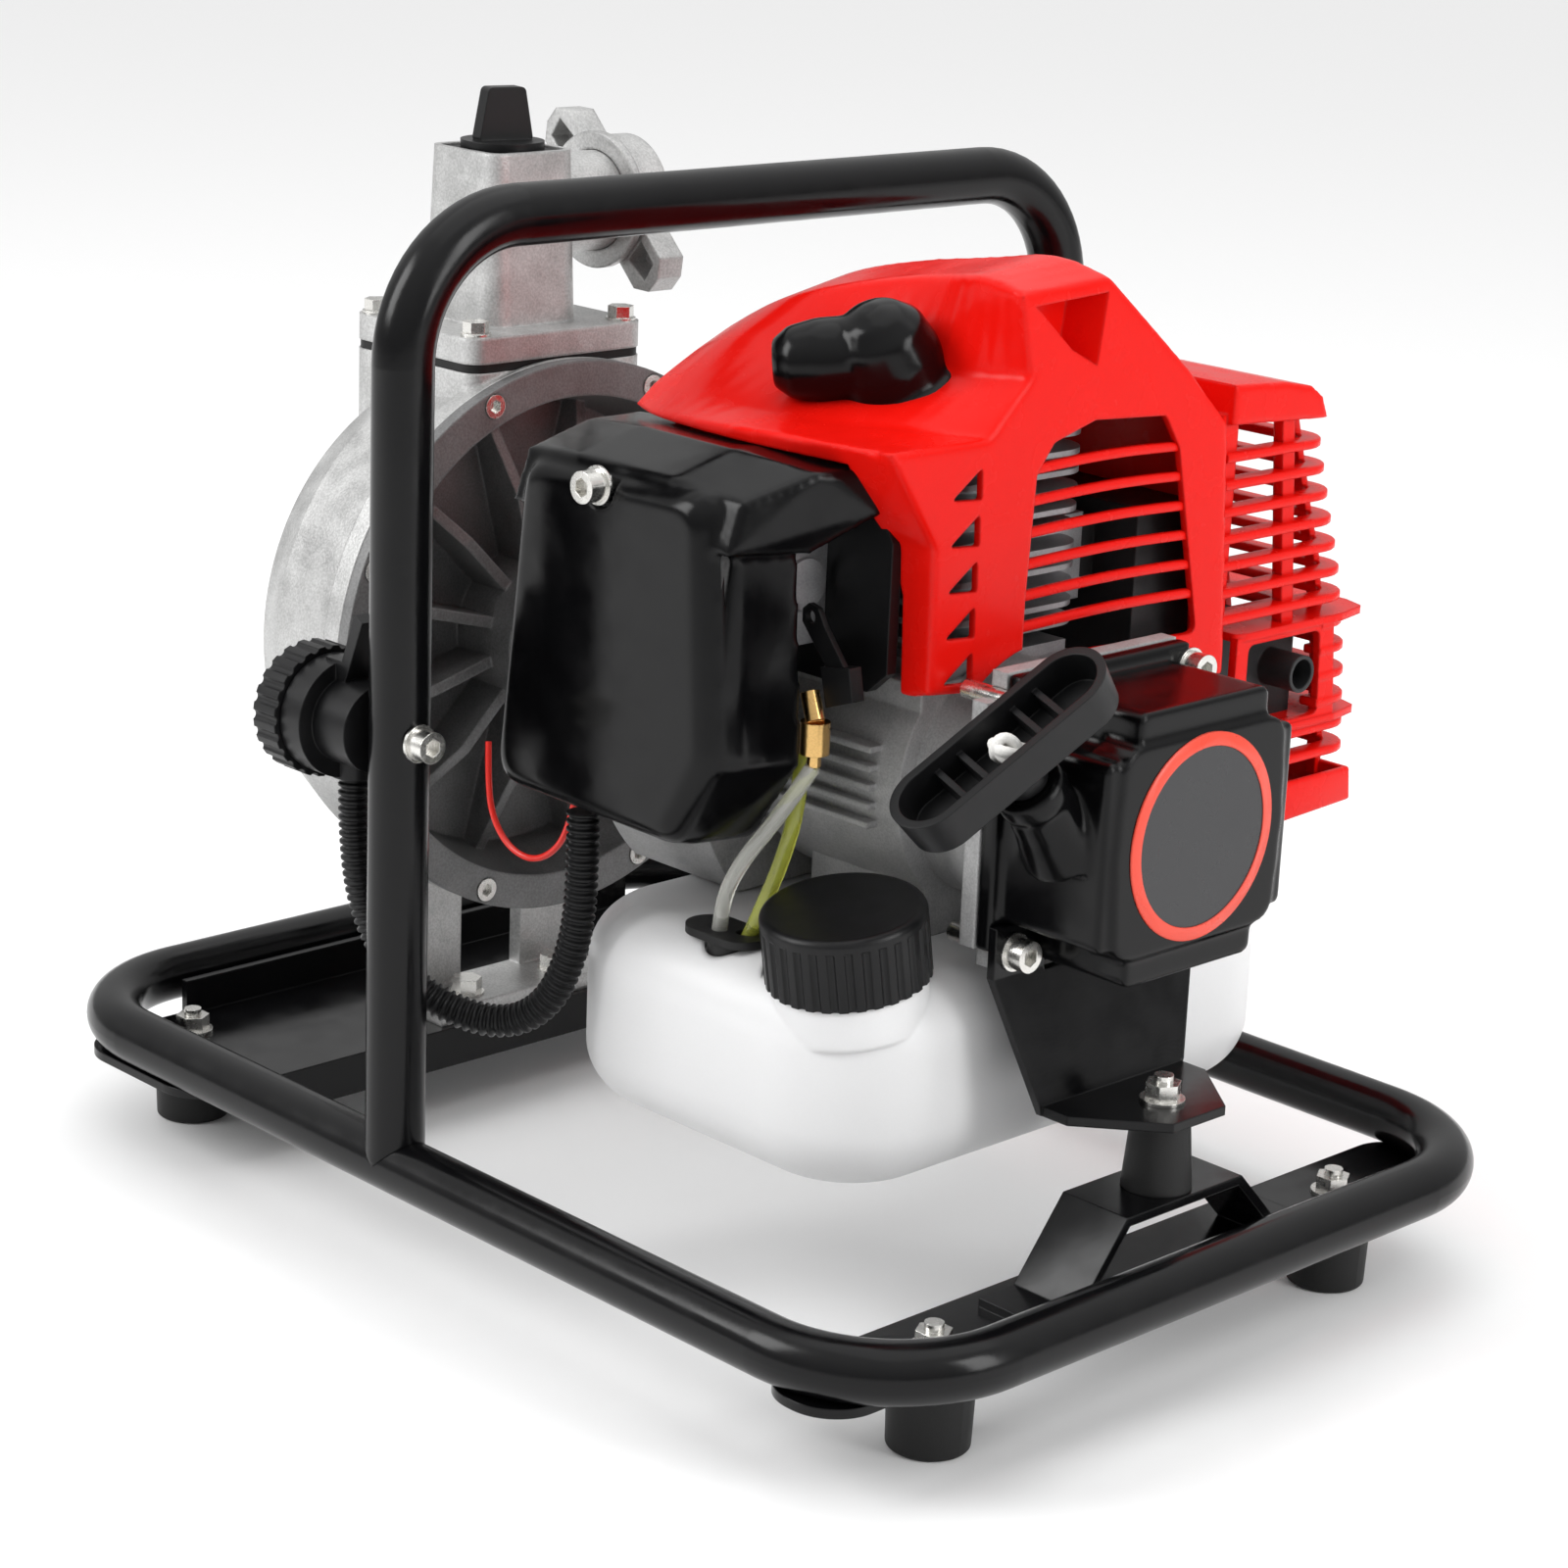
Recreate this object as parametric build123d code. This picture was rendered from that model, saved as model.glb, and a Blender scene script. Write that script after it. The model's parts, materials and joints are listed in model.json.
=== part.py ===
from build123d import *
import math
import os

# Small petrol-engine water pump: a two-stroke engine and a self-priming centrifugal pump
# share one horizontal shaft, and stand in a bent-tube frame with a carrying arch.
# Millimetres. Origin on the ground under the middle of the base frame, +Z up,
# +X along the crankshaft towards the recoil starter, -Y towards the carburettor.

# ---- Frame ----
TUBE_R = 9.5
TUBE_WALL = 1.5
LOOP_X = 408.0
LOOP_Y = 288.5
LOOP_CORNER = 46.6
LOOP_Z = 40.0
ARCH_X = -14.5
ARCH_HALF = 144.2
ARCH_TOP_Z = 337.0
ARCH_BEND = 42.0
PLATE = 3.0
STRAP_TOP = LOOP_Z - TUBE_R
STRAP_X = 172.0
STRAP_WIDTH = 34.0
STRAP_HALF = 149.0
HAT_X = 177.0
HAT_WIDTH = 30.0
HAT_TOP = 58.5
CHANNEL_REAR = -189.0
CHANNEL_FRONT = -118.0
FRONT_FOOT = (174.5, 93.4)
REAR_FOOT = (-171.5, 111.6)
FOOT_R = 13.6
M6_R = 3.0
M5_R = 2.5
CLEAR = 0.15

# ---- Shaft line ----
AXIS_Z = 171.5
STROKE = 32.0
BORE = 40.0
CYL_X = 70.0
INTAKE_X = 62.0
SHAFT_R = 6.0
JOURNAL_R = 7.5
BEARING_R = 16.0

# ---- Pump ----
RIM_R = 97.7
DRUM_R = 93.0
PUMP_WALL = 4.5
CASING_JOINT_X = -108.0
RIM_FACE_X = -103.0
DRUM_FACE_X = -172.0
DISH_X = -136.0
NECK_X = -144.5
NECK_TOP = 266.7
NECK_HALF_X = 33.5
NECK_HALF_Y = 39.0
GASKET = 3.0
FLANGE = 9.0
FLANGE_BOLT_X = 27.0
FLANGE_BOLT_Y = 32.5
COLUMN_TOP = 337.5
COLUMN_HALF = 18.5
PORT_R = 17.5
PORT_BORE = 14.0
OUTLET_Z = 316.5
OUTLET_END = 54.0
SUCTION_Z = 190.0
SUCTION_END = -203.0
NUT_R = 24.0
LUG_R = 39.0
NUT_LUG_ANGLE = 139.0
PUMP_BOLT_R = 92.6

# ---- Engine ----
CASE_R = 44.0
CASE_X = (40.0, 102.0)
STARTER_CASE_END = 138.0
RECOIL_FACE = 183.0
RECOIL_HALF = 42.0
RECOIL_SCREW = 38.0
NOTCH = 15.0
COVER_WALL = 2.5
FAN_R = 66.0
FAN_X = (-14.0, 36.0)
WHEEL_R = 42.0
HOUSING_FLOOR = 124.5
FIN_HALF = 34.0
PLUG_FOOT = Vector(70, -10, 270)
PLUG_DIRECTION = Vector(0.04, -0.50, 0.86).normalized()
PANEL_X = 118.0
HEAD_Z = 280.0
REEL_R = 32.0
ROPE_DRUM_R = 24.0
PULL_DIRECTION = Vector(0, -0.643, 0.766)
GUIDE = Vector(165, -43, 177)
GRIP_OUT = 30.0
GRIP_ALONG = Vector(0.326, 0.766, 0.643)
GRIP_LENGTH = 73.0

# ---- Fuel tank ----
TANK_X = (-4.0, 136.0)
TANK_Y = (-94.0, 114.0)
TANK_Z = (57.0, 123.5)
TANK_WALL = 2.5
CAP_R = 25.5
CAP_HEIGHT = 23.0
CAP_TILT = 10.0
CAP_BASE = Vector(110, -70, 122.5)

# ---- Throttle control ----
CONTROL_Y = -144.2
CONTROL_Z = 180.5
DIAL_R = 21.0
CONDUIT_R = 5.3
CONDUIT_ROUTE = [
    (-42, -140, 161), (-41, -141, 142), (-39, -138, 116), (-31, -130, 95),
    (-16, -120, 85), (0, -110, 83), (12, -103, 93), (18, -99, 113),
    (19.5, -98, 135), (19, -98, 157),
]
WIRE_R = 1.1
WIRE_ROUTE = [
    (-76, -58, 150), (-73.5, -60, 138), (-70, -61, 126), (-61, -61, 117),
    (-49, -60, 115), (-38, -59, 122), (-33, -58, 133), (-31, -57, 145),
]
FUEL_LINE_R = 2.5
CLEAR_LINE = [
    (62, -79, 121), (65, -81.5, 136), (74, -81.5, 152), (85, -77, 168), (92.5, -71.5, 184),
]
RETURN_LINE = [
    (70, -76, 121), (76, -73.5, 137), (82, -72, 153), (85, -69.5, 170), (82, -66, 186),
]

BOTTOM = (Align.CENTER, Align.CENTER, Align.MIN)


# ---- Shape helpers ----
def rod(start, end, radius):
    """Round bar between two points."""
    start = Vector(*start)
    along = Vector(*end) - start
    return Plane(origin=start, z_dir=along) * Cylinder(radius, along.length, align=BOTTOM)


def x_rod(x0, x1, radius, y=0.0, z=AXIS_Z):
    return rod((x0, y, z), (x1, y, z), radius)


def x_ring(x0, x1, outer, inner, y=0.0, z=AXIS_Z):
    return x_rod(x0, x1, outer, y, z) - x_rod(x0 - 1, x1 + 1, inner, y, z)


def block(x, y, z):
    """Box given by its low and high edge on each axis."""
    centre = Pos((x[0] + x[1]) / 2, (y[0] + y[1]) / 2, (z[0] + z[1]) / 2)
    return centre * Box(x[1] - x[0], y[1] - y[0], z[1] - z[0])


def prism_x(points, x0, x1):
    face = Plane.YZ.offset(x0) * Polygon(*points, align=None)
    return extrude(face, x1 - x0, dir=(1, 0, 0))


def prism_y(points, y0, y1):
    face = Plane.XZ.offset(-y0) * Polygon(*points, align=None)
    return extrude(face, y1 - y0, dir=(0, 1, 0))


def prism_z(points, z0, z1):
    face = Plane.XY.offset(z0) * Polygon(*points, align=None)
    return extrude(face, z1 - z0, dir=(0, 0, 1))


def turned(profile):
    """Solid turned about the shaft line from an (x, radius) outline."""
    outline = make_face(profile) if isinstance(profile, Wire) else Polygon(*profile, align=None)
    return Pos(0, 0, AXIS_Z) * revolve(outline, Axis.X)


def bar_outline(points, thickness):
    """Outline of a bent flat bar whose middle line is the given open polyline."""
    half = thickness / 2
    left = []
    right = []
    for i, (x, y) in enumerate(points):
        before = Vector(*points[max(i - 1, 0)])
        after = Vector(*points[min(i + 1, len(points) - 1)])
        here = Vector(x, y)
        first = (here - before).normalized() if i > 0 else (after - here).normalized()
        second = (after - here).normalized() if i < len(points) - 1 else first
        mean = (first + second).normalized()
        reach = half / math.cos(math.radians(mean.get_angle(second)))
        normal = Vector(-mean.Y, mean.X) * reach
        left.append((x + normal.X, y + normal.Y))
        right.append((x - normal.X, y - normal.Y))
    return left + right[::-1]


def sweep_round(path, radius):
    start = path.position_at(0)
    section = Plane(origin=start, z_dir=path.tangent_at(0)) * Circle(radius)
    return sweep(section, path=path)


def cord_path(route):
    """Straight runs joined by tangent arcs, each as large as its two runs allow."""
    points = [Vector(*point) for point in route]
    radii = []
    for before, here, after in zip(points, points[1:], points[2:]):
        run_in = here - before
        run_out = after - here
        half_turn = math.radians(run_in.get_angle(run_out)) / 2
        radii.append(0.45 * min(run_in.length, run_out.length) / math.tan(half_turn))
    print("radii", [round(radius, 1) for radius in radii])
    return FilletPolyline(*points, radius=radii)


def cord(route, radius):
    path = cord_path(route)
    tube = sweep_round(path, radius)
    print("length", round(path.length, 1), "volume ratio",
          round(tube.volume / (math.pi * radius ** 2 * path.length), 4))
    return tube


def hex_prism(base, direction, across_flats, height):
    """Hexagon bar standing on a point."""
    plane = Plane(origin=Vector(*base), z_dir=Vector(*direction))
    hexagon = RegularPolygon(across_flats / 2, 6, major_radius=False)
    return plane * extrude(hexagon, height)


def hex_bolt(seat, direction, radius, across_flats, length):
    """Flanged hexagon bolt: its head stands on the seat, its shank goes the other way."""
    seat = Vector(*seat)
    direction = Vector(*direction)
    flange = rod(seat, seat + direction * 1.0, across_flats * 0.66)
    head = hex_prism(seat + direction * 1.0, direction, across_flats, across_flats * 0.5)
    shank = rod(seat - direction * length, seat + direction * 0.5, radius)
    return flange + head + shank


def socket_screw(seat, direction, radius, length):
    """Socket-head cap screw with a washer under its head."""
    seat = Vector(*seat)
    direction = Vector(*direction)
    head_height = 2 * radius
    washer = rod(seat, seat + direction * 1.0, radius * 2)
    head = rod(seat + direction * 1.0, seat + direction * (1.0 + head_height), radius * 1.65)
    socket = hex_prism(seat + direction * (1.0 + radius * 0.8), direction, radius * 1.7, head_height)
    shank = rod(seat - direction * length, seat + direction * 0.5, radius)
    return washer + head + shank - socket


def save(name, shape):
    solids = shape.solids()
    result = solids[0] if len(solids) == 1 else Compound(children=list(solids))
    export_step(result, f"parts/{name}.step")


def four(half_x, half_y, centre=(0, 0)):
    """Corners of a rectangle."""
    return [(centre[0] + i * half_x, centre[1] + j * half_y) for i in (-1, 1) for j in (-1, 1)]


# ---- Frame ----
def loop_solid(radius):
    """Closed rounded rectangle of round bar."""
    half_x = LOOP_X / 2
    half_y = LOOP_Y / 2
    run_x = half_x - LOOP_CORNER
    run_y = half_y - LOOP_CORNER
    bar = Plane.XZ * Pos(LOOP_CORNER, 0) * Circle(radius)
    quarter = revolve(bar, Axis.Z, 90)
    shape = None
    for quadrant, (sx, sy) in enumerate(((1, 1), (-1, 1), (-1, -1), (1, -1))):
        corner = Pos(sx * run_x, sy * run_y, LOOP_Z) * Rot(0, 0, 90 * quadrant) * quarter
        shape = corner if shape is None else shape + corner
    for side in (-1, 1):
        shape += rod((-run_x, side * half_y, LOOP_Z), (run_x, side * half_y, LOOP_Z), radius)
        shape += rod((side * half_x, -run_y, LOOP_Z), (side * half_x, run_y, LOOP_Z), radius)
    return shape


def arch_solid(radius):
    path = FilletPolyline(
        (ARCH_X, -ARCH_HALF, LOOP_Z),
        (ARCH_X, -ARCH_HALF, ARCH_TOP_Z),
        (ARCH_X, ARCH_HALF, ARCH_TOP_Z),
        (ARCH_X, ARCH_HALF, LOOP_Z),
        radius=ARCH_BEND,
    )
    return sweep_round(path, radius)


def make_frame():
    save("base_frame_loop", loop_solid(TUBE_R) - loop_solid(TUBE_R - TUBE_WALL))
    bolt_hole = rod((ARCH_X - 20, CONTROL_Y, CONTROL_Z), (ARCH_X + 20, CONTROL_Y, CONTROL_Z), M6_R + CLEAR)
    arch = arch_solid(TUBE_R) - arch_solid(TUBE_R - TUBE_WALL) - loop_solid(TUBE_R)
    save("carry_handle", arch - bolt_hole)


def make_front_strap():
    plate = extrude(Rectangle(STRAP_WIDTH, 2 * STRAP_HALF), PLATE)
    plate = fillet(plate.edges().filter_by(Axis.Z), STRAP_WIDTH / 2 - 1)
    plate = Pos(STRAP_X, 0, STRAP_TOP - PLATE) * plate
    low = STRAP_TOP + PLATE / 2
    high = HAT_TOP - PLATE / 2
    hat = prism_x(
        bar_outline([(-62, low), (-46, low), (-26, high), (26, high), (50, low), (66, low)], PLATE),
        HAT_X - HAT_WIDTH / 2 + 1, HAT_X + HAT_WIDTH / 2 - 3,
    )
    strap = plate + hat
    for side in (-1, 1):
        x, y = FRONT_FOOT
        strap -= rod((x, side * y, 20), (x, side * y, 40), M6_R + CLEAR)
    strap -= rod((HAT_X, 0, 50), (HAT_X, 0, 70), M6_R + CLEAR)
    save("front_cross_strap", strap)


def make_rear_channel():
    floor = extrude(Rectangle(CHANNEL_FRONT - CHANNEL_REAR, 2 * STRAP_HALF), PLATE)
    floor = fillet(floor.edges().filter_by(Axis.Z), STRAP_WIDTH / 2)
    floor = Pos((CHANNEL_FRONT + CHANNEL_REAR) / 2, 0, STRAP_TOP - PLATE) * floor
    wall = block((CHANNEL_REAR, CHANNEL_REAR + PLATE), (-104, 104), (STRAP_TOP - PLATE, 43))
    lip = block((CHANNEL_FRONT - PLATE, CHANNEL_FRONT), (-120, 120), (16, STRAP_TOP))
    channel = floor + wall + lip
    for side in (-1, 1):
        x, y = REAR_FOOT
        channel -= rod((x, side * y, 20), (x, side * y, 40), M6_R + CLEAR)
        channel -= rod((-131, side * 21, 20), (-131, side * 21, 40), M6_R + CLEAR)
    save("rear_cross_channel", channel)


def foot_places():
    return [(x, side * y) for x, y in (FRONT_FOOT, REAR_FOOT) for side in (-1, 1)]


def make_feet():
    foot_top = STRAP_TOP - PLATE
    foot = Cone(FOOT_R - 0.9, FOOT_R, foot_top, align=BOTTOM)
    foot = fillet(foot.edges().group_by(Axis.Z)[0], 1.2)
    foot -= Pos(0, 0, 12) * Cylinder(M6_R + 0.05, 30, align=BOTTOM)
    save("rubber_feet", Compound(children=[Pos(x, y, 0) * foot for x, y in foot_places()]))


def flange_nut(x, y, z, below):
    stud = rod((x, y, z - below), (x, y, z + 8.5), M6_R)
    flange = rod((x, y, z), (x, y, z + 1.2), 7.0)
    return stud + flange + hex_prism((x, y, z + 1.2), (0, 0, 1), 10.0, 5.0)


def make_nuts():
    nuts = [flange_nut(x, y, STRAP_TOP, 18) for x, y in foot_places()]
    nuts.append(flange_nut(HAT_X, 0, 86.0, 14))
    save("flange_nuts", Compound(children=nuts))


def make_front_mount():
    body = Pos(HAT_X, 0, HAT_TOP) * Cone(11, 9, 24.5, align=BOTTOM)
    body -= rod((HAT_X, 0, 71.5), (HAT_X, 0, 90), M6_R + 0.05)
    save("front_rubber_mount", body)


def make_support_bracket():
    points = [(145.5, 142), (145.5, 126), (157, 84.5), (192, 84.5)]
    side_view = prism_y(bar_outline(points, PLATE), -46, 46)
    front_view = prism_x(
        [(-46, 143), (46, 143), (46, 126), (31, 82), (-33, 82), (-46, 126)], 140, 158)
    nose = prism_z([(150, -33), (168, -33), (192, -12), (192, 12), (168, 31), (150, 31)], 80, 90)
    bracket = side_view & (front_view + nose)
    for side in (-1, 1):
        bracket -= x_rod(140, 160, M6_R + CLEAR, side * RECOIL_SCREW, AXIS_Z - RECOIL_SCREW)
    bracket -= rod((HAT_X, 0, 80), (HAT_X, 0, 90), M6_R + CLEAR)
    bracket -= block((140, 160), (-24, 24), (125, 150))
    save("engine_support_bracket", bracket)


# ---- Pump ----
def make_pump_casing():
    drum = turned([
        (CASING_JOINT_X, 0), (CASING_JOINT_X, RIM_R), (CASING_JOINT_X - 8, RIM_R),
        (CASING_JOINT_X - 10, DRUM_R + 1.5), (DRUM_FACE_X + 24, DRUM_R), (DRUM_FACE_X + 10, DRUM_R - 5),
        (DRUM_FACE_X + 3, DRUM_R - 15), (DRUM_FACE_X, DRUM_R - 26), (DRUM_FACE_X, 0),
    ])
    cavity = turned([
        (CASING_JOINT_X + 1, 0), (CASING_JOINT_X + 1, 88), (DRUM_FACE_X + 26, DRUM_R - PUMP_WALL),
        (DRUM_FACE_X + 14, DRUM_R - 10), (DRUM_FACE_X + 8, DRUM_R - 19),
        (DRUM_FACE_X + PUMP_WALL, DRUM_R - 30), (DRUM_FACE_X + PUMP_WALL, 0),
    ])
    neck = extrude(Rectangle(2 * NECK_HALF_X, 2 * NECK_HALF_Y), NECK_TOP - 225)
    neck = Pos(NECK_X, 0, 225) * fillet(neck.edges().filter_by(Axis.Z), 7)
    suction_boss = x_rod(DRUM_FACE_X - 4, DRUM_FACE_X + 4, 36, 0, SUCTION_Z)
    drain_boss = x_rod(DRUM_FACE_X - 5, DRUM_FACE_X + 12, 11, 0, 100)
    pad = block((-149, -121), (-40, 40), (STRAP_TOP, STRAP_TOP + 6))
    casing = drum + neck + suction_boss + drain_boss + pad
    for side in (-1, 1):
        near, far = sorted((side * 14, side * 40))
        casing += block((-149, -143), (near, far), (STRAP_TOP, 95))
    casing -= cavity
    casing -= rod((NECK_X, 0, 230), (NECK_X, 0, NECK_TOP + 1), 16)
    casing -= block((-190, NECK_X + NECK_HALF_X + 0.5), (-50, 50), (NECK_TOP, 280))
    casing -= x_rod(DRUM_FACE_X - 10, DRUM_FACE_X + 10, 16, 0, SUCTION_Z)
    casing -= x_rod(DRUM_FACE_X - 10, DRUM_FACE_X + 20, 7.0, 0, 100)
    for side in (-1, 1):
        casing -= rod((-131, side * 21, 20), (-131, side * 21, 50), M6_R + CLEAR)
    for x, y in four(FLANGE_BOLT_X, FLANGE_BOLT_Y, (NECK_X, 0)):
        casing -= rod((x, y, NECK_TOP - 14), (x, y, NECK_TOP + 1), M5_R + CLEAR)
    for y, z in four(25, 25, (0, SUCTION_Z)):
        casing -= x_rod(DRUM_FACE_X - 5, DRUM_FACE_X + 3, M5_R + CLEAR, y, z)
    for y, z in rim_bolt_places():
        casing -= x_rod(CASING_JOINT_X - 7, CASING_JOINT_X + 1, M5_R + CLEAR, y, z)
    save("pump_casing", casing)


def rim_bolt_places():
    places = []
    for i in range(8):
        angle = math.radians(22.5 + 45 * i)
        places.append((PUMP_BOLT_R * math.cos(angle), AXIS_Z + PUMP_BOLT_R * math.sin(angle)))
    return places


def make_pump_back_cover():
    dish = turned([
        (RIM_FACE_X, 85.5), (RIM_FACE_X, RIM_R), (CASING_JOINT_X, RIM_R), (CASING_JOINT_X, 87.6),
        (DISH_X, 84), (DISH_X, 0), (DISH_X + 4, 0), (DISH_X + 4, 80),
    ])
    hub = x_rod(DISH_X, -100, 27)
    cover = dish + hub
    for i in range(12):
        rib = prism_x([(-2, 24), (2, 24), (2, 83), (-2, 83)], DISH_X + 3, -114)
        slope = prism_y([(-150, 24), (-104, 24), (-126, 86), (-150, 86)], -5, 5)
        cover += Pos(0, 0, AXIS_Z) * Rot(15 + 30 * i, 0, 0) * (rib & slope)
    cover -= x_rod(DISH_X - 1, -90, SHAFT_R + 1.0)
    cover -= x_rod(DISH_X - 1, -124, 14.0)
    for y, z in rim_bolt_places():
        cover -= x_rod(CASING_JOINT_X - 1, RIM_FACE_X + 1, M5_R + CLEAR, y, z)
        cover -= x_rod(RIM_FACE_X - 3, RIM_FACE_X + 1, 4.3, y, z)
    for y, z in hub_screw_places():
        cover -= x_rod(-112, -99, M5_R + CLEAR, y, z)
    save("pump_back_cover", cover)


def hub_screw_places():
    return [(y, AXIS_Z + z) for y, z in four(14.14, 14.14)]


def make_case_bolts():
    rim = []
    for y, z in rim_bolt_places():
        head = x_rod(RIM_FACE_X - 3, RIM_FACE_X + 0.4, 4.1, y, z)
        socket = hex_prism((RIM_FACE_X - 1.6, y, z), (1, 0, 0), 4.0, 4)
        rim.append(head + x_rod(CASING_JOINT_X - 6.5, RIM_FACE_X - 2, M5_R, y, z) - socket)
    save("pump_rim_screws", Compound(children=rim))
    feet = [hex_bolt((-131, side * 21, STRAP_TOP + 6), (0, 0, 1), M6_R, 10, 14) for side in (-1, 1)]
    save("pump_foot_bolts", Compound(children=feet))


def make_volute():
    body = x_rod(-156.5, -137.5, 60)
    body -= x_rod(-154, -137, 47)
    body -= x_rod(-170, -150, 17)
    body -= block((-154, -137), (-14, 14), (AXIS_Z + 30, AXIS_Z + 70))
    save("volute_insert", body)


def make_impeller():
    wheel = x_rod(-141.5, -138.5, 43) + x_rod(-152, -138.5, 12)
    vane = None
    for i in range(4):
        arc = Plane.YZ.offset(-152) * (Pos(20, 0) * (Circle(26) - Circle(23)))
        blade = extrude(arc, 11, dir=(1, 0, 0))
        keep = prism_x([(-2, 0), (45, 0), (45, 45), (-2, 45)], -156, -140)
        piece = Rot(90 * i, 0, 0) * (blade & keep)
        vane = piece if vane is None else vane + piece
    vanes = Pos(0, 0, AXIS_Z) * vane & x_rod(-156, -138, 43)
    save("impeller", wheel + vanes - x_rod(-160, -130, SHAFT_R))


def make_seal():
    seal = x_ring(-137, -124.2, 13.9, SHAFT_R + 0.3)
    seal -= x_ring(-132, -129, 15, 11)
    save("shaft_seal", seal)


def make_gaskets(grommet):
    neck = extrude(Rectangle(2 * NECK_HALF_X - 1, 2 * NECK_HALF_Y - 1), GASKET)
    neck = Pos(NECK_X, 0, NECK_TOP) * fillet(neck.edges().filter_by(Axis.Z), 6.5)
    neck -= rod((NECK_X, 0, 250), (NECK_X, 0, 290), 16)
    for x, y in four(FLANGE_BOLT_X, FLANGE_BOLT_Y, (NECK_X, 0)):
        neck -= rod((x, y, NECK_TOP - 1), (x, y, NECK_TOP + 9), M5_R + CLEAR)
    intake = block((DRUM_FACE_X - 6, DRUM_FACE_X - 4), (-33, 33), (SUCTION_Z - 33, SUCTION_Z + 33))
    intake -= x_rod(DRUM_FACE_X - 8, DRUM_FACE_X, 16, 0, SUCTION_Z)
    for y, z in four(25, 25, (0, SUCTION_Z)):
        intake -= x_rod(DRUM_FACE_X - 8, DRUM_FACE_X, M5_R + CLEAR, y, z)
    seals = [neck.solids()[0], intake.solids()[0], grommet.solids()[0]]
    save("rubber_seals", Compound(children=seals))


def make_elbow():
    base = NECK_TOP + GASKET
    flange = extrude(Rectangle(2 * NECK_HALF_X, 2 * NECK_HALF_Y), FLANGE)
    flange = Pos(NECK_X, 0, base) * fillet(flange.edges().filter_by(Axis.Z), 7)
    column = extrude(RectangleRounded(2 * COLUMN_HALF + 5, 2 * COLUMN_HALF + 5, 9),
                     COLUMN_TOP - base - FLANGE + 1, taper=2.4)
    column = Pos(NECK_X, 0, base + FLANGE - 1) * column
    stub = rod((NECK_X, 0, OUTLET_Z), (NECK_X, OUTLET_END, OUTLET_Z), PORT_R)
    elbow = flange + column + stub
    elbow -= rod((NECK_X, 0, base - 1), (NECK_X, 0, 325), PORT_BORE + 1)
    elbow -= rod((NECK_X, 13, OUTLET_Z), (NECK_X, OUTLET_END + 1, OUTLET_Z), PORT_BORE)
    recess = RectangleRounded(2 * COLUMN_HALF - 5, 2 * COLUMN_HALF - 5, 4)
    elbow -= Pos(NECK_X, 0, COLUMN_TOP - 3) * extrude(recess, 5)
    elbow -= rod((NECK_X, 0, 320), (NECK_X, 0, COLUMN_TOP + 1), 11.2)
    for x, y in four(FLANGE_BOLT_X, FLANGE_BOLT_Y, (NECK_X, 0)):
        elbow -= rod((x, y, base - 1), (x, y, base + 20), M5_R + CLEAR)
    save("outlet_elbow", elbow)


def make_port_bolts():
    top = NECK_TOP + GASKET + FLANGE
    bolts = [hex_bolt((x, y, top), (0, 0, 1), M5_R, 8, 24)
             for x, y in four(FLANGE_BOLT_X, FLANGE_BOLT_Y, (NECK_X, 0))]
    bolts += [hex_bolt((DRUM_FACE_X - 12, y, z), (-1, 0, 0), M5_R, 8, 13)
              for y, z in four(25, 25, (0, SUCTION_Z))]
    save("port_flange_bolts", Compound(children=bolts))


def make_priming_plug():
    seat = COLUMN_TOP - 3
    gasket = Pos(NECK_X, 0, seat) * extrude(RectangleRounded(31.4, 31.4, 4), 2.4)
    gasket -= rod((NECK_X, 0, seat - 1), (NECK_X, 0, seat + 5), 11.2)
    save("priming_gasket", gasket)
    base = seat + 2.4
    plug = rod((NECK_X, 0, 322), (NECK_X, 0, base), 11.0)
    plug += rod((NECK_X, 0, base), (NECK_X, 0, base + 3), 14.5)
    blade = [(-10.5, base + 2), (-7, base + 21), (7, base + 21), (10.5, base + 2)]
    grip = prism_x(blade, NECK_X - 3, NECK_X + 3)
    grip = fillet(grip.edges().filter_by(Axis.X), 2)
    save("priming_plug", plug + Pos(NECK_X, 0, 0) * Rot(0, 0, -12) * Pos(-NECK_X, 0, 0) * grip)


def wing_nut():
    """Two-lug coupling nut about the local Z axis, its mouth at z = 0 facing -Z."""
    body = Cylinder(NUT_R - 1.5, 16, align=BOTTOM) + Cylinder(NUT_R, 3, align=BOTTOM)
    for side in (0, 180):
        lug = prism_z([(20, -9), (LUG_R - 4, -8), (LUG_R, -2), (LUG_R, 5), (LUG_R - 6, 10), (20, 9)], 4, 15)
        hollow = prism_z([(24, -5), (LUG_R - 5, -4), (LUG_R - 4, 4), (24, 5)], 0, 12)
        body += Rot(0, 0, side) * (lug - hollow)
    body -= Cylinder(PORT_R + 0.3, 14, align=BOTTOM)
    return body - Cylinder(PORT_BORE + 1, 20, align=BOTTOM)


def make_wing_nuts():
    outlet_plane = Plane(origin=(NECK_X, OUTLET_END - 12, OUTLET_Z), x_dir=(1, 0, 0), z_dir=(0, 1, 0))
    save("outlet_wing_nut", outlet_plane * Rot(0, 0, -NUT_LUG_ANGLE) * wing_nut())
    suction_plane = Plane(origin=(SUCTION_END + 7, 0, SUCTION_Z), x_dir=(0, 1, 0), z_dir=(-1, 0, 0))
    save("suction_wing_nut", suction_plane * Rot(0, 0, 90) * wing_nut())


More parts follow.
